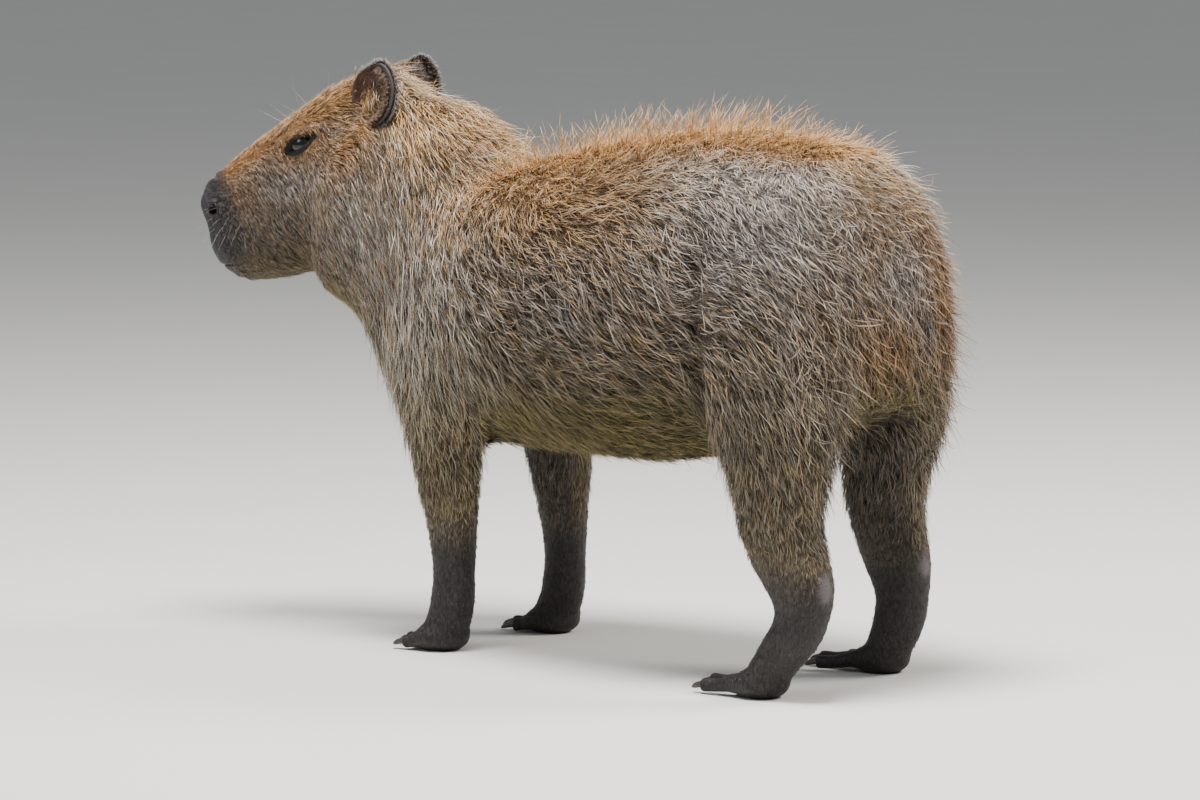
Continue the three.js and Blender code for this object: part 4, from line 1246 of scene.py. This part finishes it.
ear_skin = ear_material()
ear_shape, ear_shares = ear_rings()
for side, hand in HANDS.items():
    mesh = ring_mesh("ear_cup_" + hand, ear_point(side, ear_shape))
    for name, values in ear_shares.items():
        store(mesh, name, values)
    mesh.materials.append(ear_skin)
    show("ear_cup_" + hand, mesh, "bare_skin", "ear_" + hand)
print("ears of", 2 * EAR_HALF_WIDTH, "by", 2 * EAR_HALF_HEIGHT, "mm")

# %% [markdown]
# ## Claws
#
# Each claw is a blunt horn sheath, nearly a small hoof: high and narrow at the toe, flat below,
# with growth rings across it. One function lofts them all from rings along a slight curve.

# %% Horn material
def horn_material():
    material, tree, shader = new_material("claw_horn")
    bands = noise(tree, object_place(tree), 3, 3.0)
    surface(tree, shader, mixed(tree, bands, "#171311", "#4a4039"), 0.42, 1.54)
    relief(tree, shader, bands, 0.3, 0.0005)
    return material


# %% Claws
CLAW_LENGTH, CLAW_ROOT = 17.0, 7.0  # before the toe's end, and sunk behind it
CLAW_HEIGHT = 10.2  # over the floor, at the root
CLAW_FLAT = 0.72  # the underside is flatter than the top by this


def claw_rings(way, end):
    """Rings from the root of a claw to its blunt tip."""
    across = np.array((-way[1], way[0], 0))
    turns = np.linspace(0, 2 * math.pi, 16, endpoint=False)
    rings = []
    for share in np.linspace(0, 1, 14):
        run = -CLAW_ROOT + (CLAW_ROOT + CLAW_LENGTH) * share
        height = CLAW_HEIGHT - 1.2 * share - 3.6 * share**2.2
        blunt = math.sqrt(max(1 - max((share - 0.72) / 0.28, 0) ** 2.2, 0.03))
        wide, high = (5.9 - 2.2 * share) * blunt, (5.0 - 1.7 * share) * blunt
        grown = 1 + 0.03 * math.sin(share * 26)
        rise = np.where(np.sin(turns) < 0, np.sin(turns) * CLAW_FLAT, np.sin(turns)) * high * grown
        width = np.cos(turns) * wide * grown
        rings.append(end + way * run + UP * height + np.outer(width, across) + np.outer(rise, UP))
    return rings


horn = horn_material()
for leg, side in leg_stations:
    for i, toe in enumerate(TOES[leg]):
        start, way, end = toe_line(leg, side, toe)
        name = f"{leg}foot_claw_{HANDS[side]}_{i + 1}"
        mesh = ring_mesh("horn_" + name, claw_rings(way, end))
        mesh.materials.append(horn)
        show("horn_" + name, mesh, "claw", name)
print("claws:", sum(len(TOES[leg]) for leg, side in leg_stations))

# %% [markdown]
# ## How the coat lies
#
# Hair flows like water over the body: down the neck and shoulder, back along the flank, down the
# thigh, and straight down the leg. It stands up along the ridge of the back and on the crown. For
# any place on the skin, one function gives the direction, one the length and one the lift.

# %% Which way the hair lies
# degrees under the level line that the hair points, at places along the body and the head
FALL_ALONG = ((-340, -220, -140, -60, 40, 150, 240, 310, 380, 440),
              (80, 72, 60, 38, 24, 18, 22, 34, 50, 66))
HEAD_FALL = ((-110, -60, 0, 60, 120), (52, 58, 66, 72, 76))


def fall_way(fall):
    """The direction that points tailward and falls by that angle."""
    return np.stack([np.cos(fall), np.zeros(len(fall)), -np.sin(fall)], -1)


def lie(points, normals):
    """Which way the hair lies at a place, along the skin."""
    local = to_head(points)
    fall = np.interp(points[:, 0], *FALL_ALONG)
    fall += (86 - fall) * (1 - smooth(points[:, 2], 190, 320))
    belly = smooth(-normals[:, 2], 0.4, 0.85) * smooth(points[:, 2], 150, 210)
    fall = np.radians(fall * (1 - 0.8 * belly))
    body_way = fall_way(fall)
    body_way[:, 1] += 0.3 * np.sign(points[:, 1]) * smooth(normals[:, 2], 0.5, 0.95)
    crown = crown_share(normals)
    head_fall = np.interp(local[:, 0], *HEAD_FALL) * (1 - smooth(crown, 0.1, 0.8))
    head_fall -= 60 * smooth(-crown, 0.5, 0.9)
    head_way = fall_way(np.radians(head_fall)) @ HEAD_TURN.T
    share = head_share(points)[:, None]
    way = head_way * share + body_way * (1 - share)
    way -= normals * (way * normals).sum(1)[:, None]
    return unit(way)


# %% How long the hair is
FACE_LENGTHS = ((-104, -82, -30, 40, 120), (4, 7, 13, 22, 38))  # along the head, and hair there


def coat_length(points, normals):
    """The length of the hair in millimetres."""
    local = to_head(points)
    crown = crown_share(normals)
    body = 28 + 14 * smooth(points[:, 2], 230, 330)
    body -= 10 * smooth(points[:, 0], 170, 320) * smooth(points[:, 2], 330, 430)
    body *= 0.16 + 0.84 * smooth(points[:, 2], 95, 270)
    face = np.interp(local[:, 0], *FACE_LENGTHS)
    behind_nose = smooth(local[:, 0], -90, -40)
    face -= 3 * smooth(crown, 0.3, 0.8) * behind_nose * (1 - smooth(local[:, 0], 20, 80))
    face += 5 * smooth(-crown, 0.3, 0.8) * behind_nose
    face *= 0.28 + 0.72 * smooth(eye_distance(local), 18, 42)
    share = head_share(points)
    return face * share + body * (1 - share)


# %% How steeply the hair stands
def coat_lift(points, normals, guard):
    """How steeply the hair leaves the skin, and how steeply it ends, in degrees."""
    local = to_head(points)
    crown = crown_share(normals)
    ridge = smooth(normals[:, 2], 0.55, 0.92) * smooth(points[:, 0], -115, -65)
    ridge *= 1 - 0.4 * smooth(points[:, 0], 220, 340)
    rear = smooth(normals[:, 0], 0.3, 0.8) * smooth(points[:, 2], 190, 260) * 0.8
    forehead = smooth(crown, 0.35, 0.85) * smooth(local[:, 0], -60, -10)
    forehead = forehead * (1 - smooth(local[:, 0], 110, 150))
    on_head = head_share(points)
    stand = np.maximum.reduce([ridge * (1 - on_head), rear, forehead * 0.65 * on_head])
    shins = 1 - smooth(points[:, 2], 120, 230)
    if guard:
        return 26 + 42 * stand - 8 * shins, 10 + 36 * stand
    return 24 + 8 * stand - 10 * shins - 4 * on_head, 2 + 10 * stand


def swirl(points, size, strength):
    """A slow wave in the direction, so that the coat isn't combed."""
    x, y, z = (points / size).T
    first = np.sin(x + 1.7 * np.sin(z * 0.9))
    return strength * (first + np.sin(1.3 * z + 0.8 * y + 2 * np.sin(0.6 * x)))


# %% [markdown]
# ## Tufts
#
# A tuft is a thin, closed, three-sided blade that tapers to a point. Neighbours gather towards a
# shared tip, as coarse hair does. So we lay guides first, let each follow the skin in a few
# steps, and set several tufts round each guide. Everything is done on whole arrays, which makes
# a hundred thousand tufts in seconds.

# %% Roots, spread evenly
def spread(mesh_points, triangles, weights, count, random):
    """Count places over the triangles, evenly by weighted area."""
    corners = mesh_points[triangles]
    area = np.linalg.norm(np.cross(corners[:, 1] - corners[:, 0], corners[:, 2] - corners[:, 0]), axis=1)
    middle = corners.mean(1)
    blocks = np.floor((middle - GRID_LOW) / 12).astype(int)
    order = np.lexsort((blocks[:, 0], blocks[:, 1], blocks[:, 2]))
    total = np.cumsum((area * weights)[order])
    marks = (np.arange(count) + random.random(count)) / count * total[-1]
    chosen = order[np.minimum(np.searchsorted(total, marks), len(order) - 1)]
    a, b = random.random((2, len(chosen), 1))
    over = a + b > 1
    a, b = np.where(over, 1 - a, a), np.where(over, 1 - b, b)
    picked = corners[chosen]
    return picked[:, 0] + a * (picked[:, 1] - picked[:, 0]) + b * (picked[:, 2] - picked[:, 0])


# %% Guides that follow the skin
def guide_paths(roots, steps, stray, guard, random):
    """Lets each guide run over the skin. Gives its points, its normals and its length."""
    normals = facing(roots)
    length = coat_length(roots, normals) * random.uniform(0.75, 1.2, len(roots))
    begin, end = coat_lift(roots, normals, guard)
    ruffle = smooth(begin, 34, 60) if guard else smooth(begin, 26, 32)
    length *= 1.22 - 0.12 * ruffle if guard else 1 - 0.3 * ruffle
    stray = stray * (0.55 + 0.45 * smooth(roots[:, 0], -200, -60)) * (1 + 0.8 * ruffle)
    turned = swirl(roots, 46, 0.12) + random.normal(0, 1, len(roots)) * stray
    begin = begin + random.normal(0, 5, len(roots)) * (1 + ruffle)
    end = end + random.normal(0, 6, len(roots)) * (1 + 1.5 * ruffle)
    curl = random.normal(0, 0.16, len(roots)) * (1 + ruffle)
    place, path, ups = roots, [roots], [normals]
    for step in range(steps):
        normal = facing(place)
        way = lie(place, normal)
        angle = (turned + curl * step)[:, None]
        way = way * np.cos(angle) + np.cross(normal, way) * np.sin(angle)
        lift = np.radians(begin + (end - begin) * (step + 0.5) / steps)[:, None]
        place = place + (np.cos(lift) * way + np.sin(lift) * normal) * (length / steps)[:, None]
        path.append(place)
        ups.append(normal)
    return np.stack(path, 1), np.stack(ups, 1), length


# %% Tufts round each guide
WIDTHS = {3: (0.8, 1.0, 0.7), 2: (0.9, 0.8)}  # at each step, as shares of the tuft's width
SINK = 1.6  # how deep the roots are sunk


def tuft_corners(path, ups, each, width, clump, gather, random):
    """Corners of every tuft: three at each step but the last, and one at the tip."""
    guides, steps = path.shape[0], path.shape[1] - 1
    count = guides * each
    path, ups = np.repeat(path, each, 0), np.repeat(ups, each, 0)
    width = np.repeat(width, each) * random.uniform(0.7, 1.3, count)
    clump = np.repeat(clump, each)
    along = unit(path[:, 1] - path[:, 0])
    side = unit(np.cross(ups[:, 0], along))
    angle, radius = random.uniform(0, 2 * math.pi, count), clump * np.sqrt(random.random(count))
    offset = (side * (np.cos(angle) * radius)[:, None]
              + unit(np.cross(side, ups[:, 0])) * (np.sin(angle) * radius)[:, None])
    shares = np.arange(steps + 1) / steps
    grown = path[:, :1] + (path - path[:, :1]) * random.uniform(0.7, 1.15, count)[:, None, None]
    line = grown + offset[:, None] * (1 - gather * shares)[None, :, None]
    reach = np.linalg.norm(path[:, -1] - path[:, 0], axis=1)
    wild = random.normal(0, 1, (count, 3)) * (reach * 0.1)[:, None]
    wild -= ups[:, 0] * (wild * ups[:, 0]).sum(1)[:, None] * 0.6
    line += wild[:, None] * (shares**1.5)[None, :, None]
    line[:, 0] -= ups[:, 0] * SINK
    roll = random.normal(0, 0.5, count)
    corners = np.empty((count, steps * 3 + 1, 3))
    for step in range(steps):
        up = ups[:, step]
        ahead = unit(line[:, step + 1] - line[:, step])
        across = unit(np.cross(up, ahead))
        lid = unit(np.cross(ahead, across))
        turned = across * np.cos(roll)[:, None] + lid * np.sin(roll)[:, None]
        raised = lid * np.cos(roll)[:, None] - across * np.sin(roll)[:, None]
        half = (width * WIDTHS[steps][step] / 2)[:, None]
        corners[:, step * 3] = line[:, step] - turned * half
        corners[:, step * 3 + 1] = line[:, step] + turned * half
        corners[:, step * 3 + 2] = line[:, step] + raised * half * 0.8
    corners[:, -1] = line[:, -1]
    return corners, line[:, 0] + ups[:, 0] * SINK, ups[:, 0]


def tuft_faces(steps):
    """The triangles of one tuft, which is closed at its root and ends in a point."""
    faces = [(0, 1, 2)]
    for step in range(steps - 1):
        for i in range(3):
            a, b = step * 3 + i, step * 3 + (i + 1) % 3
            faces += [(a, a + 3, b), (b, a + 3, b + 3)]
    last = (steps - 1) * 3
    faces += [(last + i, steps * 3, last + (i + 1) % 3) for i in range(3)]
    return np.array(faces)


# %% [markdown]
# ## A mesh of tufts, and its bake map
#
# Each piece of coat becomes one mesh. Its map named OFBake gives every tuft a tiny patch at its
# root's place on an unrolled skin: along the body one way, and round it the other.

# %% The unrolled skin
PATCH = 0.003  # the share of the map that one tuft takes each way


def unrolled(points, middle, axis):
    """Where a place lies on the unrolled skin, as shares along and round an axis."""
    others = [k for k in range(3) if k != axis]
    offset = points[:, others] - middle
    round_it = np.arctan2(offset[:, 1], offset[:, 0])
    both = np.stack([points[:, axis], round_it], -1)
    low, high = both.min(0), both.max(0)
    return (both - low) / np.maximum(high - low, 1e-6) * (1 - 2 * PATCH) + PATCH


# %% Build a piece of coat
def varied_tints(roots, ups, tones):
    """The markings at each root, a little different from tuft to tuft, and gold on some alone."""
    tints = markings(roots, ups)
    varied = 0.55 + 0.9 * ((tones * 13) % 1)
    for tint in ("rust", "cream", "olive", "grey"):
        tints[tint] = np.minimum(tints[tint] * varied, 1)
    tints["gold"] = 0.85 * ((tones * 7) % 1 < tints["gold"])
    return tints


def build_coat(name, corners, roots, steps, unrolling, tones, tints):
    """One mesh of tufts, with its shares, its bake map and its material."""
    count, each = corners.shape[:2]
    faces = (tuft_faces(steps)[None] + (np.arange(count) * each)[:, None, None]).reshape(-1)
    mesh = bpy.data.meshes.new(name)
    mesh.vertices.add(count * each)
    mesh.vertices.foreach_set("co", to_frame(corners.reshape(-1, 3)).astype(np.float32).ravel())
    mesh.loops.add(len(faces))
    mesh.loops.foreach_set("vertex_index", faces.astype(np.int32))
    mesh.polygons.add(len(faces) // 3)
    mesh.polygons.foreach_set("loop_start", np.arange(0, len(faces), 3, dtype=np.int32))
    mesh.update(calc_edges=True)
    mesh.shade_smooth()
    shares = np.append(np.repeat(np.arange(steps) / steps, 3), 1.0)
    store(mesh, "along", np.tile(shares, count))
    store(mesh, "tone", np.repeat(tones, each))
    for tint, values in tints.items():
        store(mesh, tint, np.repeat(values, each))
    turns = np.append(np.tile(np.arange(3) / 3, steps), 0.5)
    patch = np.stack([shares - 0.5, turns - 0.5], -1) * PATCH
    spots = (unrolling(roots)[:, None] + patch[None]).reshape(-1, 2)
    layer = mesh.uv_layers.new(name="OFBake")
    layer.data.foreach_set("uv", spots[faces].astype(np.float32).ravel())
    mesh.materials.append(bristles)
    show(name, mesh, "coat")
    print(name, count, "tufts,", len(faces) // 3, "triangles")


# %% [markdown]
# ## Sow the coat
#
# The trunk, neck and thighs have two layers: a dense coat that lies close, and sparse, longer
# guard hairs over it, which stand up along the back and the rump. The face and legs have short
# hair alone. No hair grows on the eyes, the nose, the lips and the soles. The coat is divided
# into pieces by body part, so that no mesh is too heavy.

# %% Where hair may grow
skin_mesh.calc_loop_triangles()
triangles = np.empty(len(skin_mesh.loop_triangles) * 3, np.int32)
skin_mesh.loop_triangles.foreach_get("vertices", triangles)
triangles = triangles.reshape(-1, 3)
middles = places[triangles].mean(1)
middle_local = to_head(middles)
bare_nose = middle_local[:, 0] - 0.2 * np.abs(middle_local[:, 1]) < -104
clear = (eye_dark[triangles].max(1) < 0.3) & (eye_edge[triangles].min(1) > 2.0) & ~bare_nose
for side in HANDS:
    offset = middle_local - side_of(EAR_PLACE, side)
    rearward, upward, outward = (offset @ axis for axis in ear_frame(side))
    rearward, upward, outward = rearward / 30, (upward + 3) / 38, np.minimum(outward / 18, 0)
    clear &= rearward**2 + upward**2 + outward**2 > 1
clear &= (mouth_dark[triangles].max(1) < 0.8) & (painted_nostril_shade[triangles].max(1) < 0.05)
clear &= (middles[:, 2] > 18) & (callus[triangles].min(1) < 0.3)
middle_head = head_share(middles)
long_share = (1 - smooth(middle_head, 0.3, 1.0)) * smooth(middles[:, 2], 120, 190)
print("share of the skin under long coat:", round(float(long_share.mean()), 2))

# %% Parts of the coat
def body_part(points):
    """The name of the part that each root belongs to."""
    x, y, z = points.T
    hand = np.where(y < 0, "left", "right")
    part = np.where(x > 213, "thigh_", "flank_")
    part = np.where(x < -130, "shoulder_", part)
    part = np.where((z > 505) | ((x > 400) & (z > 300)), "ridge_", part)
    part = np.where(to_head(points)[:, 0] < 190, "neck_", part)
    part = np.where(z < 235, "belly_", part)
    return np.char.add(part, hand)


# %% Which way each part is unrolled
HINDLEG_X, FORELEG_X, LEG_Y = 330, -140, {"left": -108, "right": 105}
HEAD_MIDDLE, TRUNK_MIDDLE = np.array((0, -10)), np.array((0, 385))  # sideways and upwards


def unrolling_for(part):
    """The way to unroll a part: round the leg, along the head, or along the trunk."""
    if "leg" in part or part.startswith("thigh"):
        x = FORELEG_X if part.startswith("foreleg") else HINDLEG_X
        middle = np.array((x, LEG_Y[part.split("_")[-1]]))
        return lambda points: unrolled(points, middle, 2)
    if part.startswith("face"):
        return lambda points: unrolled(to_head(points), HEAD_MIDDLE, 0)
    return lambda points: unrolled(points, TRUNK_MIDDLE, 0)


# %% Sow a layer, and build it part by part
FULL_LONG, FULL_GUARD, FULL_SHORT = 14500, 8500, 11500  # guides
thin = 1.0
random = np.random.default_rng(7)


def sow(share, count, steps, stray, guard, each, gather, size_of):
    """Tufts over the clear skin: their corners, roots, normals and a random tone for each."""
    roots = spread(places, triangles, share * clear, int(count * thin), random)
    path, ups, length = guide_paths(roots, steps, stray, guard, random)
    width, clump = size_of(length)
    corners, at, facings = tuft_corners(path, ups, each, width, clump, gather, random)
    return corners, at, facings, random.random(len(corners))


def build_parts(name, parts, steps, corners, at, facings, tones):
    """One piece of coat for each part of the body."""
    tints = varied_tints(at, facings, tones)
    for part in sorted(set(parts)):
        mine = parts == part
        part_tints = {tint: values[mine] for tint, values in tints.items()}
        build_coat(name + part, corners[mine], at[mine], steps, unrolling_for(part), tones[mine],
                   part_tints)


# %% Long coat
def long_size(length):
    """The width of each tuft and the reach of each clump, from the length of the hair."""
    return np.full(len(length), 0.86), 7.5 + 0.03 * length


corners, at, facings, tones = sow(long_share, FULL_LONG, steps=2, stray=0.16, guard=False, each=5,
                                  gather=0.3, size_of=long_size)
build_parts("coat_", body_part(at), 2, corners, at, facings, tones)


# %% Guard hairs
def guard_size(length):
    return np.full(len(length), 0.8), np.full(len(length), 2.0)


corners, at, facings, tones = sow(long_share, FULL_GUARD, steps=3, stray=0.24, guard=True, each=1,
                                  gather=0.3, size_of=guard_size)
hand = np.where(at[:, 1] < 0, "left", "right")
build_parts("guard_hair_", hand, 3, corners, at, facings, 0.4 + 0.6 * tones)


# %% Short hair of the face and legs
def short_size(length):
    return 0.5 + 0.012 * length, 2.0 + 0.1 * length


denser = 3.0 * bump(eye_distance(middle_local) - 18, 16)  # round the eyes
short_share = smooth(middle_head, 0.2, 0.9) * (3.0 + denser)
short_share += (1 - smooth(middles[:, 2], 150, 215)) * 0.75
corners, at, facings, tones = sow(short_share, FULL_SHORT, steps=2, stray=0.13, guard=False, each=5,
                                  gather=0.25, size_of=short_size)
hand = np.where(at[:, 1] < np.where(at[:, 2] > 260, HEAD_PLACE[1], 0), "left", "right")
face = np.where(to_head(at)[:, 0] < 22, "face_front_", "face_rear_")
parts = np.where(at[:, 2] > 300, face, np.where(at[:, 0] > 100, "hindleg_", "foreleg_"))
build_parts("fur_", np.char.add(parts, hand), 2, corners, at, facings, tones)

# %% [markdown]
# ## Whiskers and the hair of the ears
#
# Whiskers are long stiff hairs that stand in rows on the upper lip, with a few over the eye and
# on the cheek. They are brown to pale, taper evenly and sag a little. On the ears, fine hairs
# radiate from the rear of the cup and make a fuzz along the rim, and a tuft grows below.

# %% One whisker
def whisker_material():
    material, tree, shader = new_material("pale_whisker")
    cloud = noise(tree, object_place(tree), 25)
    surface(tree, shader, mixed(tree, cloud, "#4f473d", "#b3a998"), 0.35, 1.55)
    return material


def on_skin(root):
    """Moves a place to the nearest place on the skin, and gives its normal too."""
    place = root[None]
    for repeat in range(3):
        place = place - facing(place) * sampled(grid, place)[:, None]
    return place[0], facing(place)[0]


def whisker_rings(root, way, length, sag, thick):
    shares = np.linspace(0, 1, 9)
    path = root + np.outer(shares, way) * length - np.outer(shares**2, UP) * sag
    return tube_rings(path, thick * (1 - 0.9 * shares), 5)


# %% All whiskers
WHISKER_SINK = 4  # how deep the roots are sunk
random = np.random.default_rng(11)


def strewn(way, spread_by):
    """A direction that is turned a little at random."""
    return unit(np.array(way) + random.normal(0, spread_by, 3))


def whiskers_of_one_side():
    """Root, way, length, sag and radius of each whisker, on the right side of the head."""
    whiskers = []
    for row in range(4):
        for column in range(4):
            root = (-92 + column * 9.0, 33 + column * 3.2, 2 - row * 11.0 - column * 2)
            way = strewn((-0.35 + 0.2 * column, 1.0, 0.12 - 0.16 * row), 0.09)
            length, sag = random.uniform(24, 36) + 4 * column, 8 + random.uniform(0, 6)
            whiskers.append((root, way, length, sag, 0.18))
    for x, height, ahead in ((24, 60, -1.3), (31, 62, -0.7), (39, 62, 0.4)):
        way = strewn((ahead, 0.3, 1.0), 0.1)
        whiskers.append(((x, 42.0, height), way, random.uniform(30, 52), -4.0, 0.3))
    for x, z in ((40, -22), (52, -30)):
        whiskers.append(((x, 62.0, z), strewn((0.3, 1.0, -0.25), 0.1), 26, 7, 0.25))
    return whiskers


whisker_hair = whisker_material()
for side, hand in HANDS.items():
    joined = bmesh.new()
    whiskers = whiskers_of_one_side()
    for root, way, *sizes in whiskers:
        root, normal = on_skin(from_head(side_of(np.array(root), side)))
        way = HEAD_TURN @ side_of(way, side)
        one = ring_mesh("one", whisker_rings(root - WHISKER_SINK * normal, way, *sizes))
        joined.from_mesh(one)
        bpy.data.meshes.remove(one)
    mesh = bpy.data.meshes.new("whiskers")
    joined.to_mesh(mesh)
    joined.free()
    mesh.shade_smooth()
    mesh.materials.append(whisker_hair)
    show("whiskers_" + hand, mesh, "coat")
    print("whiskers:", len(whiskers))

# %% Hair of the ears
EAR_HAIRS = {  # number, length and tints of each kind
    "fringe": (640, 5.5, {"grey": 0.5, "slate": 0.4}),
    "inside": (420, 8, {"rust": 0.5, "slate": 0.5}),
    "behind": (420, 6, {"rust": 0.7, "slate": 0.8}),
    "below": (70, 11, {"cream": 0.2, "slate": 0.3}),
}
inner_rings = len(ear_shape) // 2


def ear_roots(kind, count):
    """Places on the cup for a kind of hair, and the way it grows, in the ear's own frame."""
    turns = ear_shape.shape[1]
    if kind == "fringe":
        ring, turn_at = np.full(count, inner_rings), random.uniform(-0.1, 0.56, count)
    elif kind == "inside":
        ring, turn_at = random.integers(6, inner_rings - 2, count), random.uniform(0.02, 0.45, count)
    elif kind == "behind":
        ring = random.integers(inner_rings, inner_rings + 9, count)
        turn_at = random.uniform(-0.3, 0.6, count)
    else:
        ring, turn_at = random.integers(8, inner_rings, count), random.uniform(0.46, 0.62, count)
    column = np.round(turn_at * turns).astype(int) % turns
    at = ear_shape[ring, column] + random.normal(0, 0.4, (count, 3))
    angle = column / turns * 2 * math.pi
    sine, cosine, ones = np.sin(angle), np.cos(angle), np.ones(count)
    way = {"fringe": np.stack([sine, cosine, 0.5 * ones], -1),
           "inside": np.stack([-sine, -0.7 * cosine, 0.7 * ones], -1),
           "behind": np.stack([sine + 0.4, cosine, -0.6 * ones], -1),
           "below": np.stack([0.1 * ones, ones, 0.9 * ones], -1)}[kind]
    return at, unit(way + random.normal(0, 0.22, way.shape))


for side, hand in HANDS.items():
    frame_of = HEAD_TURN @ np.array(ear_frame(side)).T
    paths, own_tints = [], []
    for kind, (count, hair_length, kind_tints) in EAR_HAIRS.items():
        at, way = ear_roots(kind, count)
        length = (hair_length * random.uniform(0.6, 1.25, count))[:, None]
        heading = way @ frame_of.T
        roots = ear_point(side, at)
        middle = roots + heading * length / 2
        paths.append(np.stack([roots, middle, middle + unit(heading - UP * 0.35) * length / 2], 1))
        own_tints += [kind_tints] * count
    path = np.concatenate(paths)
    heading = unit(path[:, 1] - path[:, 0])
    ups = np.repeat(unit(np.cross(heading, np.cross(frame_of[:, 2], heading)))[:, None], 3, 1)
    width, clump = np.full(len(path), 0.5), np.full(len(path), 1.6)
    corners, at, facings = tuft_corners(path, ups, 3, width, clump, 0.2, random)
    tones = 0.1 + 0.7 * random.random(len(corners))
    tints = {}
    for tint in (*TINT_ORDER, "painted_sun_and_pale_chin"):
        tints[tint] = np.repeat([own.get(tint, 0) for own in own_tints], 3)
    build_coat("ear_hair_" + hand, corners, at, 2, unrolling_for("face"), tones, tints)

# %% [markdown]
# ## Floor, light and camera
#
# A pale plain floor runs out of view. A large soft lamp hangs overhead, like a skylight. A lamp
# on the animal's left lightens the shadows and mirrors in its eye, and a lamp behind lifts the
# bristles off the background. The camera stands where the photographer stood: to the left and
# behind, at the animal's height, with a long lens.

# %% Floor
floor_mesh = bpy.data.meshes.new("floor")
floor_mesh.from_pydata([(-30, -30, 0), (30, -30, 0), (30, 30, 0), (-30, 30, 0)], [], [(0, 1, 2, 3)])
floor = new_object("floor", floor_mesh)
paper, tree, shader = new_material("pale_floor")
cloud = noise(tree, object_place(tree), 1000 / 3)
surface(tree, shader, mixed(tree, cloud, "#c9c8c4", "#cfcecb"), 0.9, 1.5)
floor_mesh.materials.append(paper)
floor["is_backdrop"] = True

# %% Camera
AZIMUTH, ELEVATION = math.radians(42), math.radians(6)
DISTANCE, AIM_HEIGHT, LENS, SENSOR = 6.0, 0.272, 169.74, 36.0
aim = Vector((SHIFT[0], SHIFT[1], AIM_HEIGHT))


def point_at_aim(thing, away):
    """Puts a camera or lamp at a place seen from the aim, and turns it to look at the aim."""
    thing.location = aim + away
    thing.rotation_mode = "QUATERNION"
    thing.rotation_quaternion = (-away).to_track_quat("-Z", "Y")


back = Vector((math.sin(AZIMUTH) * math.cos(ELEVATION), -math.cos(AZIMUTH) * math.cos(ELEVATION),
               math.sin(ELEVATION)))
camera = new_object("camera", bpy.data.cameras.new("camera"))
bpy.context.scene.camera = camera
point_at_aim(camera, back * DISTANCE)
camera.data.sensor_width, camera.data.lens = SENSOR, LENS


# %% Lamps
def lamp(name, place, size, power, tint):
    """A square soft lamp, placed from the aim in metres, with its power in watts."""
    light = bpy.data.lights.new(name, "AREA")
    light.size, light.energy, light.color = size, power, tint
    point_at_aim(new_object(name, light), Vector(place))


lamp("skylight", (0.35, -0.7, 3.2), 1.3, 345, (1.0, 0.98, 0.95))
lamp("fill", (-0.2, -2.6, 1.8), 1.3, 22, (0.95, 0.97, 1.0))
lamp("rim", (1.9, 1.9, 2.3), 1.2, 140, (1.0, 0.94, 0.86))
world = bpy.data.worlds.new("studio")
bpy.context.scene.world = world
world.use_nodes = True
world.node_tree.nodes["Background"].inputs["Color"].default_value = linear("#dfe3e6")
world.node_tree.nodes["Background"].inputs["Strength"].default_value = 0.5

# %% [markdown]
# ## The size, and the end
#
# We print the box of the imported model and the box of the dressed animal. The dressed animal
# should keep to the imported model's box, apart from the tips of its longest hairs, which reach
# a little past it.

# %% Sizes, and the end
dressed_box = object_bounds()
sizes = {"cad": [list(corner) for corner in cad_box], "visual": [list(corner) for corner in dressed_box]}
for name, (low, high) in sizes.items():
    print(name, "from", [round(v, 3) for v in low], "to", [round(v, 3) for v in high])
